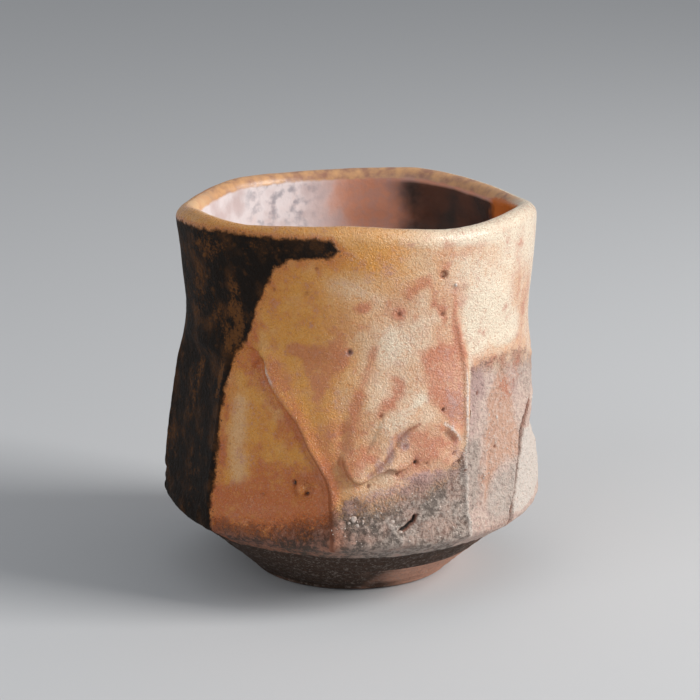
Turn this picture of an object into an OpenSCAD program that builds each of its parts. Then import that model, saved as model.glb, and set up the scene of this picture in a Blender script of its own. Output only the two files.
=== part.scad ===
// Hand-made yunomi tea cup: a thrown wall with knife-cut facets above a sharp hip,
// a floor slab, a trimmed foot ring, and a coat of glaze inside and out.
// Bearings are degrees round the cup: 0 is the front (-Y), 90 the right (+X).

/* [Overall] */
// Height of the lip above the table, taken over its waves
cup_h = 83.8; // [78:0.2:104]
// Height that the lip rises and dips about its mean
rim_wave = 1.4; // [0:0.1:2]
// Sideways lean of the waist from the foot's centre
lean_w = 1.4; // [0:0.1:2]

/* [Outline] */
// Width across the hip, the sharp turn above the foot
hip_w = 85.4; // [82:0.2:98]
// Height of the hip
hip_h = 17.6; // [15.4:0.2:20]
// Width across the belly
belly_w = 82.4; // [80:0.2:90]
// Height of the belly
belly_h = 34; // [30:0.5:37]
// Width at the shoulder, below the waist
shoulder_w = 79.8; // [78:0.2:86]
// Height of the shoulder
shoulder_h = 46.5; // [43:0.5:49]
// Width of the waist, the narrowest part of the wall
waist_w = 75.8; // [72:0.2:78]
// Height of the waist
waist_h = 58.5; // [57:0.5:64]
// Width just below the lip
rim_w = 79.6; // [74:0.2:90]

/* [Clay] */
// Thickness of the wall behind the deepest facet and at the lip
wall_t = 3.8; // [3:0.1:5]
// Thickness of the floor over the hollow of the foot
floor_t = 4.4; // [3.5:0.1:6]
// Height at which the inside turns from wall to floor
well_h = 27; // [24:0.5:32]

/* [Facets] */
// Height of the facets' tops where two facets meet
cut_h = 53.4; // [51:0.2:55]
// Height of the soft ledge over each facet
ledge_h = 2.2; // [1.6:0.1:3]
// Height of the raised fold along a seam
fold_rise = 0.6; // [0:0.1:1]
// Depth of the open crack on the right
crack_depth = 1.4; // [0.5:0.1:2]

/* [Foot] */
// Height of the foot ring
foot_h = 7; // [5:0.2:8]
// Width of the foot ring where it leaves the body
foot_top_w = 59; // [54:0.5:62]
// Width of the foot ring at the table
foot_w = 43; // [40:0.5:47]
// Width of the hollow inside the foot ring
hollow_w = 34; // [28:0.5:36]
// Radius of the worn edges of the foot ring
foot_edge_r = 1; // [0.4:0.1:1.5]

/* [Glaze] */
// Thickness of the glaze
glaze_t = 0.5; // [0.3:0.05:0.8]
// Height of the lowest runs of the outer glaze
glaze_low_h = 21; // [20:0.5:24]
// Height that the bare patch on the right reaches
glaze_high_h = 51; // [46:0.5:52]

/* [Hidden] */

// Height of the seam between the wall and the floor slab
seam_h = foot_h + floor_t + wall_t * 0.25;
// Height of the clay floor at its centre
floor_h = foot_h + floor_t;
// Radius where the sloping underside meets the foot ring
foot_top_r = foot_top_w / 2;
// Rounding of the hip's edge
hip_round = wall_t * 0.35;
// Height of the lip's rounding
lip_round = wall_t * 0.55;

// The outline of the thrown clay: height, radius and sideways lean
outline = [
    [hip_h, hip_w / 2, 0],
    [belly_h, belly_w / 2, lean_w * 0.15],
    [shoulder_h, shoulder_w / 2, lean_w * 0.55],
    [waist_h, waist_w / 2, lean_w],
    [(waist_h + cup_h) / 2, (waist_w * 0.6 + rim_w * 0.4) / 2, lean_w * 0.85],
    [cup_h, rim_w / 2, lean_w * 0.6]
];

// The lip's waves: bearing, and rise as a share of rim_wave
rim_wave_shares = [
    [-100, -1.1], [-62, 0.3], [-42, 0.15], [-4, 1], [34, -0.25],
    [66, 0.4], [110, -1], [158, 0.5], [190, -0.05], [222, -0.1]
];

// The outer glaze's lower edge: bearing, and height as a share from low to high
glaze_edge_shares = [
    [-60, 0.02], [-47, 0.05], [-32, 0], [-6, 0.1], [10, 0.3], [36, 0.43],
    [42, 0.97], [62, 1], [84, 0.8], [118, 0.2], [150, 0.12], [184, 0.3],
    [214, 0.08], [244, 0.2], [270, 0.03]
];

// The seams between the facets: their bearings at the hip, a third and two
// thirds of the way up, and at the facets' tops
seam_bearings = [
    [-88, -88, -89, -88],
    [-47, -47, -46, -46],
    [-5, -6, -15, -29],
    [38, 38, 38, 37],
    [54, 61, 73, 80],
    [90, 89, 90, 90],
    [136, 134, 135, 138],
    [180, 181, 179, 178],
    [222, 223, 221, 222]
];

// How each seam stands: share of fold_rise, then share of crack_depth
seam_form_shares = [
    [0, 0], [0.3, 0], [1, 0], [1, 0], [0, 1], [0, 0], [0.3, 0], [0, 0], [0.3, 0]
];

// Each facet, from the seam on its left: how flat it is cut, how far it is
// scooped, how far it sinks beside its left and right seams, how long it takes
// to run out at its top, and how far its arched top rises over the seams
facet_shares = [
    [1, 0.05, 0, 0, 0.1, 0.4],
    [0.85, 0.15, 0, 0.3, 0, 1],
    [0.3, 0, 0, 0.1, 0.9, 0.6],
    [0.9, 0.05, 0.15, 0, 0.35, 0.8],
    [0.5, 0, 0, 0, 0.2, 0.2],
    [0.9, 0.05, 0, 0, 0.1, 0.8],
    [0.9, 0, 0, 0.1, 0, 0.5],
    [0.85, 0.1, 0, 0, 0.2, 1],
    [0.9, 0, 0.1, 0, 0, 0.6]
];
// Rise of the highest arch over the seams
arch_rise = ledge_h * 1.6;

// Where the stations stand across a facet, close together beside its seams
station_shares = [0, 0.05, 0.18, 0.34, 0.5, 0.66, 0.82, 0.95];
// Rings of points in each stretch of the wall
hip_rings = 6;
facet_rings = 6;
neck_rings = 4;
lip_rings = 3;
inner_rings = 4;
well_rings = 5;

facet_count = len(seam_bearings);
per_facet = len(station_shares);
stations = facet_count * per_facet;

// The deepest facet's sagitta as a share of the radius
deepest_share = 1 - cos(24);
// How much of each cut is left where it runs out at the hip
toe_share = 0.4;
// Height over which a cut deepens above the hip
toe_h = (belly_h - hip_h) * 0.5;
// Exponent of the curve from the wall to the floor, squarer than an ellipse's
well_share = 0.6;
// How far the last ring on the floor is turned from the seam towards the middle
floor_ring_share = 0.9;
// Length of the blend from the lip's inside to the barrel, as a share of its height
throat_share = 1 / 3;

// Smooth forms shared by the pieces

function clamp(x) = min(1, max(0, x));
function mix(a, b, u) = a + (b - a) * u;
function ease(u) = let (v = clamp(u)) v * v * (3 - 2 * v);

// The stretch of a table that holds x
function stretch(table, x, i = 0) =
    i >= len(table) - 2 || x < table[i + 1][0] ? i : stretch(table, x, i + 1);

function slope(table, i, column) =
    let (a = max(i - 1, 0), b = min(i + 1, len(table) - 1))
    (table[b][column] - table[a][column]) / (table[b][0] - table[a][0]);

// A smooth curve through the rows of a table
function curve(table, x, column) =
    let (
        i = stretch(table, x),
        width = table[i + 1][0] - table[i][0],
        u = clamp((x - table[i][0]) / width),
        v = 1 - u,
        leaving = slope(table, i, column) * width,
        arriving = slope(table, i + 1, column) * width
    )
    v * v * (table[i][column] * (1 + 2 * u) + leaving * u)
        + u * u * (table[i + 1][column] * (1 + 2 * v) - arriving * v);

// Waves round the cup: the table's values, eased from one bearing to the next
function turn_to(b, first) = b < first ? turn_to(b + 360, first)
    : b >= first + 360 ? turn_to(b - 360, first) : b;

function wave(table, bearing) =
    let (
        b = turn_to(bearing, table[0][0]),
        closed = concat(table, [[table[0][0] + 360, table[0][1]]]),
        i = stretch(closed, b)
    )
    mix(closed[i][1], closed[i + 1][1],
        ease((b - closed[i][0]) / (closed[i + 1][0] - closed[i][0])));

function thrown_r(h) = curve(outline, h, 1);
function lean(h) = curve(outline, h, 2);

// The seam on the left of a facet, at a height
function seam_at(k, h) =
    let (
        row = seam_bearings[k % facet_count],
        up = clamp((h - hip_h) / (cut_h - hip_h)) * 3,
        i = min(2, floor(up)),
        turned = k >= facet_count ? 360 : 0
    )
    turned + mix(row[i], row[i + 1], ease(up - i) * 0.5 + (up - i) * 0.5);

// The bearing of station j at a height
function bearing(j, h) =
    let (k = floor(j / per_facet))
    mix(seam_at(k, h), seam_at(k + 1, h), station_shares[j % per_facet]);

// Levels that follow the bearing
function crest_h(b) = cup_h + rim_wave * wave(rim_wave_shares, b);
function glaze_edge_h(b) = mix(glaze_low_h, glaze_high_h, wave(glaze_edge_shares, b));
function arch_h(j) =
    let (across = 2 * station_shares[j % per_facet] - 1)
    cut_h + arch_rise * facet_shares[floor(j / per_facet)][5] * (1 - pow(across, 4));

// How fully a facet is cut at a height, from 1 below its arch to 0 over the ledge
// and a part of it at the hip
function cut_share(j, h) =
    let (
        form = facet_shares[floor(j / per_facet)],
        under = ease((arch_h(j) + ledge_h - h) / ledge_h),
        run = form[4] * (arch_h(j) - hip_h),
        toe = mix(toe_share, 1, ease((h - hip_h) / toe_h))
    )
    under * toe * ease((arch_h(j) + ledge_h - h) / (run + ledge_h));

// What the knife takes off at station j: the seam stays on the thrown form,
// and the facet between two seams is a chord, scooped or sunk where it should be
function cut_off(j, h) =
    let (
        k = floor(j / per_facet),
        form = facet_shares[k],
        u = station_shares[j % per_facet],
        half = (seam_at(k + 1, h) - seam_at(k, h)) / 2,
        chord = thrown_r(h) * (1 - cos(half) / cos(half * (2 * u - 1))),
        scoop = wall_t * form[1] * (1 - pow(2 * u - 1, 2)),
        sink = wall_t * (form[2] * pow(1 - u, 3) + form[3] * pow(u, 3))
    )
    u == 0 ? 0 : form[0] * chord + scoop + sink;

function seam_form(j, h) =
    let (
        form = seam_form_shares[floor(j / per_facet)],
        low = ease((arch_h(j) - h) / (arch_h(j) - hip_h) * 2)
    )
    j % per_facet == 0 ? form[0] * fold_rise - form[1] * crack_depth * low : 0;

function clay_r(j, h) =
    thrown_r(h) - cut_share(j, h) * (cut_off(j, h) - seam_form(j, h));

// The inside of the clay keeps the wall's thickness behind the deepest facet
function barrel_r(h) =
    thrown_r(h) * (1 - deepest_share * ease((waist_h - h) / (waist_h - belly_h))) - wall_t;

// A place at station j, at height h and radius r
function place(j, h, r, b) = [lean(h) + r * sin(b), -r * cos(b), h];

// Heights of the wall's rings from the hip to the lip, at station j
function lip_h(j) = crest_h(bearing(j, cup_h)) - lip_round;
function edge_h(j) = glaze_edge_h(bearing(j, glaze_low_h));
function hip_heights(j) =
    [for (i = [0:hip_rings - 1]) mix(hip_h, edge_h(j), i / hip_rings)];
function upper_heights(j) = concat(
    [for (i = [0:facet_rings - 1]) mix(edge_h(j), arch_h(j), i / facet_rings)],
    [for (i = [0:2]) arch_h(j) + ledge_h * i / 2],
    [for (i = [1:neck_rings]) mix(arch_h(j) + ledge_h, lip_h(j), i / neck_rings)]
);

function side_ring(j, h, coat) = place(j, h, clay_r(j, h) + coat, bearing(j, h));

// The lip at turn a, from 0 outside to 180 inside, with a coat of glaze over it
function lip_place(j, a, coat) =
    let (
        h = lip_h(j),
        outer = clay_r(j, h),
        middle = outer - wall_t / 2,
        p = place(j, h, middle + (wall_t / 2 + coat) * cos(a), bearing(j, h))
    )
    [p[0], p[1], h + (lip_round + coat) * sin(a)];

function lip(j, from, to, coat) =
    [for (i = [0:lip_rings]) lip_place(j, mix(from, to, i / lip_rings), coat)];

// The inside from the lip down to the well, and the well's curve to the floor
function inner_ring(j, u, coat) =
    let (h = mix(lip_h(j), well_h, u), b = bearing(j, cup_h))
    place(j, h, mix(clay_r(j, lip_h(j)) - wall_t, barrel_r(h), ease(u / throat_share)) - coat, b);

function well_ring(j, a, coat) =
    let (
        h = mix(well_h, floor_h + coat, pow(sin(a), well_share)),
        r = (barrel_r(well_h) - coat) * pow(cos(a), well_share),
        b = bearing(j, cup_h)
    )
    [lean(well_h) + r * sin(b), -r * cos(b), h];

// The turn of the well at which it reaches the seam with the floor slab
seam_turn = asin(pow((well_h - seam_h) / (well_h - floor_h), 1 / well_share));

// The underside: from the rounded hip down its slope to the foot ring
function under_ring(j, h) =
    let (
        b = bearing(j, hip_h),
        half = (seam_at(floor(j / per_facet) + 1, hip_h) - seam_at(floor(j / per_facet), hip_h)) / 2,
        across = half * (2 * station_shares[j % per_facet] - 1),
        flat = toe_share * facet_shares[floor(j / per_facet)][0],
        hip_r = thrown_r(hip_h) * mix(1, cos(half) / cos(across), flat) - hip_round * 0.5,
        top = hip_h - hip_round
    )
    place(j, h, mix(foot_top_r, hip_r, clamp((h - foot_h) / (top - foot_h))), b);

// Closed solids lofted from one list of points for each station

// From ring back on, a profile runs back down, and each pair of faces is split on
// the other diagonal, so that a coat and the clay under it meet face to face
function ring_faces(rings, closed, back) = [
    for (j = [0:stations - 1], i = [0:rings - (closed ? 1 : 2)])
        let (
            a = j * rings + i,
            b = j * rings + (i + 1) % rings,
            c = ((j + 1) % stations) * rings + (i + 1) % rings,
            d = ((j + 1) % stations) * rings + i
        )
        each i < back ? [[a, b, c], [a, c, d]] : [[a, b, d], [b, c, d]]
];

// A ring-shaped solid: each profile is a closed loop
module loft_ring(profiles, back) {
    rings = len(profiles[0]);
    polyhedron([for (p = profiles) each p], ring_faces(rings, true, back));
}

// A disc-shaped solid: each profile runs from the upper centre to the lower one
module loft_disc(upper, lower, profiles) {
    rings = len(profiles[0]);
    count = stations * rings;
    caps = [
        for (j = [0:stations - 1])
            let (next = (j + 1) % stations)
            each [
                [count, next * rings, j * rings],
                [count + 1, (j + 1) * rings - 1, (next + 1) * rings - 1]
            ]
    ];
    sides = [for (face = ring_faces(rings, false, rings)) [face[0], face[2], face[1]]];
    polyhedron(
        concat([for (p = profiles) each p], [upper, lower]),
        concat(sides, caps)
    );
}

// The pieces

function wall_profile(j) = concat(
    [for (u = [1, 0.5, 0]) under_ring(j, mix(hip_h - hip_round, seam_h, u))],
    [for (h = hip_heights(j)) side_ring(j, h, 0)],
    [for (h = upper_heights(j)) side_ring(j, h, 0)],
    [for (i = [1:2 * lip_rings - 1]) lip_place(j, 180 * i / (2 * lip_rings), 0)],
    [for (i = [0:inner_rings]) inner_ring(j, i / inner_rings, 0)],
    [for (i = [1:well_rings]) well_ring(j, seam_turn * i / well_rings, 0)]
);

module wall() {
    profiles = [for (j = [0:stations - 1]) wall_profile(j)];
    color("peru")
        loft_ring(profiles, len(profiles[0]));
}

function base_profile(j) = concat(
    [for (i = [1, 0.5, 0]) well_ring(j, mix(seam_turn, 90, i * floor_ring_share), 0)],
    [for (u = [0, 1]) under_ring(j, mix(seam_h, foot_h, u))]
);

module base() {
    middle = [lean(well_h), 0, 0];
    color("saddlebrown")
        loft_disc(
            middle + [0, 0, floor_h], [0, 0, foot_h],
            [for (j = [0:stations - 1]) base_profile(j)]
        );
}

// What wear takes off a lower edge of the foot, which lies at x on the table,
// with the foot's clay on its right (1) or left (-1)
module worn_edge(x, side) {
    translate([x, 0])
        difference() {
            square(2 * foot_edge_r, center = true);
            translate([side * foot_edge_r, foot_edge_r])
                circle(foot_edge_r, $fn = 48);
            translate([side * 2 * foot_edge_r, 0])
                square([2 * foot_edge_r, 4 * foot_edge_r], center = true);
            translate([0, 2 * foot_edge_r])
                square([4 * foot_edge_r, 2 * foot_edge_r], center = true);
        }
}

module foot_ring() {
    color("rosybrown")
        rotate_extrude($fn = 96)
            difference() {
                polygon([
                    [hollow_w / 2 - foot_edge_r, foot_h],
                    [hollow_w / 2, 0],
                    [foot_w / 2, 0],
                    [foot_top_r, foot_h]
                ]);
                worn_edge(hollow_w / 2, 1);
                worn_edge(foot_w / 2, -1);
            }
}

function inner_glaze_profile(j) = concat(
    [for (i = [well_rings:-1:1]) well_ring(j, 90 * i / (well_rings + 1), glaze_t)],
    [for (i = [inner_rings:-1:0]) inner_ring(j, i / inner_rings, glaze_t)],
    [for (i = [2 * lip_rings - 1:-1:lip_rings])
        lip_place(j, 180 * i / (2 * lip_rings), glaze_t)],
    [for (i = [lip_rings:2 * lip_rings - 1]) lip_place(j, 180 * i / (2 * lip_rings), 0)],
    [for (i = [0:inner_rings]) inner_ring(j, i / inner_rings, 0)],
    [for (i = [1:well_rings]) well_ring(j, seam_turn * i / well_rings, 0)],
    [for (i = [0.5, 1]) well_ring(j, mix(seam_turn, 90, i * floor_ring_share), 0)]
);

module inner_glaze() {
    middle = [lean(well_h), 0, floor_h];
    color("thistle")
        loft_disc(
            middle + [0, 0, glaze_t], middle,
            [for (j = [0:stations - 1]) inner_glaze_profile(j)]
        );
}

function outer_glaze_profile(j) = concat(
    [for (h = upper_heights(j)) side_ring(j, h, glaze_t)],
    [for (i = [1:lip_rings]) lip_place(j, 180 * i / (2 * lip_rings), glaze_t)],
    [for (i = [lip_rings:-1:1]) lip_place(j, 180 * i / (2 * lip_rings), 0)],
    let (heights = upper_heights(j))
        [for (i = [len(heights) - 1:-1:0]) side_ring(j, heights[i], 0)]
);

module outer_glaze() {
    profiles = [for (j = [0:stations - 1]) outer_glaze_profile(j)];
    color("goldenrod")
        loft_ring(profiles, len(profiles[0]) / 2);
}

wall();
base();
foot_ring();
inner_glaze();
outer_glaze();
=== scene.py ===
"""A hand-made yunomi tea cup: fired clay, wood ash and glaze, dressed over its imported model.

Bearings are degrees round the cup: 0 is the front (-Y) and 90 the right (+X).
Heights and sizes inside the form are millimetres, and Blender's own are metres.
"""

import math

import bmesh
import bpy
import numpy as np
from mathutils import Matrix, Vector


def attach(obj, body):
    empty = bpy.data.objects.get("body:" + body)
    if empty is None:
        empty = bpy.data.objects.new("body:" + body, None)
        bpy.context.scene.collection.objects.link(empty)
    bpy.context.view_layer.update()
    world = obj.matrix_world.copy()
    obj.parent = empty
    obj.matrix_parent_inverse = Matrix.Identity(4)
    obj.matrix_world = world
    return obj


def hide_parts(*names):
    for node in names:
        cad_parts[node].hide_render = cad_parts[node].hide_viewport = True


bl_info = {
    "name": "Yunomi Tea Cup",
    "version": (1, 0, 0),
    "blender": (4, 5, 0),
    "location": "3D View > Sidebar > Tea Cup",
    "description": "Makes the skin, glaze and clay of a faceted tea cup on its packed model",
    "category": "Object",
}

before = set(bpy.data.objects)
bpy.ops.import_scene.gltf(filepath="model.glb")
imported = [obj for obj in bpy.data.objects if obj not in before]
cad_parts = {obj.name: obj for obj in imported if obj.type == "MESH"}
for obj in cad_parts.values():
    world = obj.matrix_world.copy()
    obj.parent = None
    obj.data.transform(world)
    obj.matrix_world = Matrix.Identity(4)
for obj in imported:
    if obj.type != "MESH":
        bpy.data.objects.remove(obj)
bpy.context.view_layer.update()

MM = 0.001
# Millimetres on the skin for each degree of bearing
ROLL = 0.71

# Tables of the cup's form

# The lip's waves: bearing, and rise as a share of rim_wave
RIM_WAVE_SHARES = [
    (-100, -1.1), (-62, 0.3), (-42, 0.15), (-4, 1), (34, -0.25),
    (66, 0.4), (110, -1), (158, 0.5), (190, -0.05), (222, -0.1),
]

# The outer glaze's lower edge: bearing, and height in millimetres
GLAZE_EDGE = [
    (-60, 20.5), (-44, 20.5), (-34, 20.5), (-27, 20.8), (-21, 21.4), (-15, 22.4), (-8, 23.2),
    (-4.5, 26), (-0.5, 27), (4, 26.2), (8.5, 26.2), (13, 27.2), (17, 28.6), (22, 29.6),
    (27, 30.8), (33, 32.6), (36, 37), (38.5, 52), (45, 53.4), (59, 52.8), (72, 51.6), (88, 48),
    (118, 27), (150, 24.6), (184, 30), (214, 23.4), (244, 27), (270, 21.9),
]

# The seams between the facets: their bearings at the hip, a third and two
# thirds of the way up, and at the facets' tops
SEAM_BEARINGS = [
    (-88, -88, -89, -88),
    (-47, -47, -46, -46),
    (-5, -6, -15, -29),
    (38, 38, 38, 37),
    (54, 61, 73, 80),
    (90, 89, 90, 90),
    (136, 134, 135, 138),
    (180, 181, 179, 178),
    (222, 223, 221, 222),
]

# Each facet, from the seam on its left: how flat it is cut, how far it is
# scooped, how far it sinks beside its left and right seams, how long it takes
# to run out at its top, and how far its arched top rises over the seams
FACET_SHARES = [
    (1, 0.05, 0, 0, 0.1, 0.4),
    (0.85, 0.15, 0, 0.3, 0, 1),
    (0.3, 0, 0, 0.1, 0.9, 0.6),
    (0.9, 0.05, 0.15, 0, 0.35, 0.8),
    (0.5, 0, 0, 0, 0.2, 0.2),
    (0.9, 0.05, 0, 0, 0.1, 0.8),
    (0.9, 0, 0, 0.1, 0, 0.5),
    (0.85, 0.1, 0, 0, 0.2, 1),
    (0.9, 0, 0.1, 0, 0, 0.6),
]
FACETS = len(SEAM_BEARINGS)

# Lines on the skin: bearings and heights

# The top of the diagonal fold, over its seam
FOLD_TOP = [(-31, 56), (-34.5, 57.4)]
# The lower lip of the slip that ran down beside the fold
SLIP_LIP = [
    (-3.4, 38.1), (-2.6, 35.3), (-1.5, 33.2), (0.3, 31.7), (2.4, 31.2), (4.7, 31.8), (7.7, 33),
    (10.6, 34), (13.3, 33.4), (15.4, 33.6), (18, 35), (20, 37),
]
# The crease above it
SLIP_CREASE = [(3, 31.6), (5.9, 33.3), (9.2, 35.3), (11.9, 37.8), (13.8, 40.1), (17, 42.2), (20, 43.3)]
# The thin ridge where two facets meet on the right
THIN_RIDGE = [
    (31, 72), (31.3, 68), (33.4, 62.4), (35.4, 57), (36.2, 52.4), (35.8, 46), (36, 40),
    (36.2, 30), (36, 22), (37, 16.6),
]
# The second ridge, with an orange strip beside it
ORANGE_RIDGE = [
    (55.2, 50.4), (51.3, 45.9), (48.3, 43.1), (46.4, 36.7), (45.3, 30.2), (44, 26), (42, 20.7),
]
# The open crack on the right, over its seam
CRACK = [
    (80, 45.6), (75.4, 43), (70.4, 39.6), (65.6, 36), (62.6, 32.4), (60.8, 28.4), (58.8, 24.2),
    (56.4, 20.6), (54.2, 17),
]
# The tongue of slip between the fold and the thin ridge
TONGUE = [(28.4, 42.3), (30.6, 40.9), (32.6, 39.3), (33.6, 38.4)]
# The nick in the ash: its pale ridge and its dark gouge
NICK_RIDGE = [(10.4, 22.8), (12.3, 20.6), (14.6, 18.3)]
NICK_GOUGE = [(13.8, 19.9), (14.9, 20.6), (16.2, 20.9), (17.4, 21.7), (18.3, 22), (18.9, 23)]
# Soft painted shade in rust under the upper fold, partly the glaze's own rust, and a drip of rust glaze
FOLD_SHADE = [(-36, 55.6), (-30.6, 53.2), (-25.6, 49.2), (-21.2, 45.2), (-17, 40.6)]
RUST_DRIP = [(-21.4, 44.6), (-21.8, 40.4), (-20.8, 37.4)]
# The stem of the blushed V between the fold and the thin ridge, and a streak by a pit
BLUSH_STEM = [(4.3, 59.4), (3.3, 55.2), (1.7, 51), (0.2, 47.9), (-0.7, 42.6), (-1.6, 38.6)]
BLUSH_STREAK = [(22.4, 75.2), (20, 73.3), (16.6, 71.3)]
# Blush along the foot of the fold
FOLD_FLUSH = [(-27, 55.4), (-22.4, 51.6), (-18, 46.6), (-13, 41), (-9.6, 36.6), (-7, 32)]
# Pale runs of thick glaze, and a painted highlight down the scoop's left side
FOLD_RUN = [(-26.6, 56.3), (-21.4, 54.6), (-16.8, 50), (-12, 44.8), (-6.6, 41)]
PALE_RUN = [(9.6, 63), (8, 58.4), (6.4, 53.2), (4.6, 48.4)]
SCOOP_HIGHLIGHT = [(-39, 46), (-38.7, 40), (-38.6, 35), (-37.2, 29.4)]

# Holes in the skin: bearing, height, radius and depth in millimetres
PITS = [
    (27.4, 74.8, 0.8, 0.9), (27.3, 66.2, 0.6, 0.45), (12.9, 66.9, 0.6, 0.4), (42.1, 47.5, 0.42, 0.8),
    (27.6, 45.7, 0.4, 0.8), (18.9, 35, 0.5, 0.8), (4.7, 30.5, 0.34, 0.6), (-2.7, 58.9, 0.6, 0.55),
    (-29, 26.5, 0.5, 0.3), (31.6, 35.8, 0.36, 0.7), (33.6, 34, 0.4, 0.8), (7.8, 45.4, 0.5, 0.35),
    (15.6, 38.7, 0.6, 0.3), (-26.3, 71.7, 0.5, 0.3), (-15.5, 71.6, 0.5, 0.25), (-12.1, 77, 0.45, 0.3),
    (-17.8, 30.2, 0.65, 1.1), (-13.6, 28.3, 0.5, 0.9), (51, 34.4, 0.4, 0.5), (22.4, 34.6, 0.3, 0.4),
    (-41, 36.5, 0.4, 0.25), (27.5, 79, 0.4, 0.2), (36, 31.6, 0.36, 0.5), (13.2, 32.6, 0.4, 0.5),
    (112, 62, 0.6, 0.5), (147, 40, 0.7, 0.7), (168, 70, 0.5, 0.4), (205, 52, 0.8, 0.6),
    (236, 66, 0.6, 0.5), (262, 44, 0.7, 0.5), (128, 76, 0.5, 0.4), (190, 34, 0.5, 0.6),
]

# Round swellings: bearing, height, half width, half height and rise in millimetres
SWELLS = [
    (1.6, 35, 2.6, 4.4, 0.75), (-15.6, 29.4, 1.8, 2.2, 2.5), (-9, 45.5, 3, 3.5, 0.25),
    (-3.5, 41, 1.2, 3.5, -0.45), (36.4, 72, 1.3, 0.8, 0.3), (32.2, 72.4, 0.8, 0.6, 0.5),
    (12, 50, 4, 5, -0.4), (24, 36, 3, 2, 0.35), (29, 34, 1.6, 1.4, 0.3), (60, 52, 4, 3, 0.3),
    (-40, 62, 5, 5, -0.35), (-20, 66, 7, 6, 0.3), (8, 70, 6, 5, -0.25), (89, 33.6, 7, 2.8, -1.1),
    (0, 57, 4, 5, -0.3), (22, 60, 5, 6, 0.2), (14, 44, 4, 3, 0.3), (-26, 38, 6, 6, -0.3),
    (-39, 36, 1.6, 8, 0.35), (89, 24, 6, 5, 0.4), (-2, 78, 8, 3, 0.2), (20, 76, 6, 3, -0.2),
]

# Patches of colour: bearing, height, half width, half height and strength
BLUSH = [
    (-14, 71.4, 3.5, 1.6, 0.35), (-6, 71.6, 2, 1.4, 0.3), (1.6, 68.6, 2, 1.4, 0.9),
    (-20.5, 59, 2.4, 1.6, 0.9), (-8, 65, 3, 3, 0.3), (12.9, 66.9, 1.7, 1.4, 0.95),
    (27.2, 76, 1.8, 2, 0.75), (20.6, 73.4, 3.4, 1.4, 0.75), (17, 71, 2.2, 1.4, 0.55),
    (24.6, 69, 1.2, 1.3, 0.8), (26.6, 67, 1.3, 1.4, 0.85), (28, 65, 1, 1.4, 0.7),
    (31.6, 66, 0.9, 5, 0.75), (33.4, 61, 1, 4, 0.8), (35.6, 55, 1, 4, 0.7),
    (36, 79.6, 2.2, 1.4, 0.5), (29, 81, 2, 1.2, 0.45), (42, 80.6, 2.4, 1.2, 0.35),
    (64, 76, 3.4, 6, 0.4), (72, 62, 3, 7, 0.45), (24, 52, 2, 6, 0.4), (21, 39, 4, 3, 0.6),
    (26, 37, 4, 3, 0.5), (-30, 49.8, 3.4, 2.4, 0.3), (-36, 20, 4, 3, 0.4), (-9, 27, 1.5, 3, 0.3),
    (10, 33.6, 5, 1.2, 0.4), (3, 40, 1.8, 7, 0.35), (19, 41.6, 3, 2, 0.5), (6, 38, 3, 3, 0.5),
    (0, 34.6, 2.2, 3, 0.55), (58, 48, 3, 4, 0.35), (66, 50, 3, 3, 0.3), (50, 17.5, 6, 2, 0.4),
    (60, 46, 3, 3, 0.4), (96, 72, 6, 5, 0.5), (110, 50, 7, 8, 0.6), (134, 66, 9, 6, 0.6),
    (160, 44, 6, 10, 0.7), (176, 74, 8, 4, 0.5), (200, 60, 9, 7, 0.5), (218, 38, 7, 9, 0.6),
    (232, 72, 6, 6, 0.4), (-15, 30.2, 1.8, 2.2, 0.5), (-6.5, 41, 2.6, 4.4, 0.55),
    (-3.4, 36.4, 2.6, 3, 0.6), (1.6, 35, 2.6, 4, 0.35), (32, 41, 3, 6, 0.6), (8, 52, 2, 5, 0.25),
    (22, 33, 7, 2.6, 0.5), (40, 54, 2.4, 2, 0.5), (52, 53.6, 5, 1.8, 0.55), (66, 51.6, 6, 2, 0.45),
]
CREAM = [
    (19, 48.6, 2.4, 1.8, 0.4), (9, 59.4, 3, 4, 0.3), (15, 61.3, 3, 4, 0.3), (47, 66, 9, 9, 1),
    (58, 60, 7, 4, 0.95), (41, 63, 3.4, 7, 0.95), (60, 78, 8, 6, 0.8), (76, 78, 10, 7, 0.85),
    (50, 82, 12, 2.4, 0.8), (30, 83, 9, 1.8, 0.6), (2, 80.6, 5, 2, 0.3), (-4, 49.6, 2.6, 4, 0.4),
    (12, 59, 5, 4.4, 0.35), (21, 54, 2.4, 5, 0.25), (86, 66, 6, 12, 0.7), (142, 78, 8, 4, 0.4),
    (2.4, 34.4, 1.6, 2.4, 0.8), (3, 29.6, 5, 1, 0.35), (38.4, 52, 0.9, 5, 0.9), (20, 80, 5, 3, 0.3),
    (-24, 59.6, 3, 2.4, 0.3), (9, 49.5, 2, 3.4, 0.45), (-2, 73.4, 6, 3.6, 0.6), (13, 76, 6, 4, 0.4),
    # (-14, 30.2) is a painted highlight on the knob's right side
    (31, 75, 4, 4, 0.4), (39, 76, 4, 4, 0.5), (-14, 30.2, 0.8, 1.5, 0.7),
]
MAUVE = [
    (30, 53, 3.6, 5, 0.3), (32, 46.6, 2.4, 4.4, 0.45), (42, 48.6, 3.4, 5, 0.8), (26, 31, 8, 2, 0.45),
    (11, 37.4, 1, 3, 0.8), (8, 34.8, 1.2, 1.6, 0.8), (5, 33, 1, 1, 0.7), (15, 41, 1.4, 1.6, 0.7),
    (12, 29, 7, 1.2, 0.6), (4, 27, 4, 1.6, 0.5), (24, 31.4, 6, 1.4, 0.7), (33, 36, 2, 3, 0.5),
    (-0.5, 25.6, 2, 2, 0.6), (-2.8, 58.8, 1.2, 1, 0.6), (40, 41, 2, 4, 0.6), (15.6, 38.7, 1, 1, 0.8),
    (-38, 21, 3, 1.6, 0.3), (64, 44, 3, 3, 0.35),
]
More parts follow.
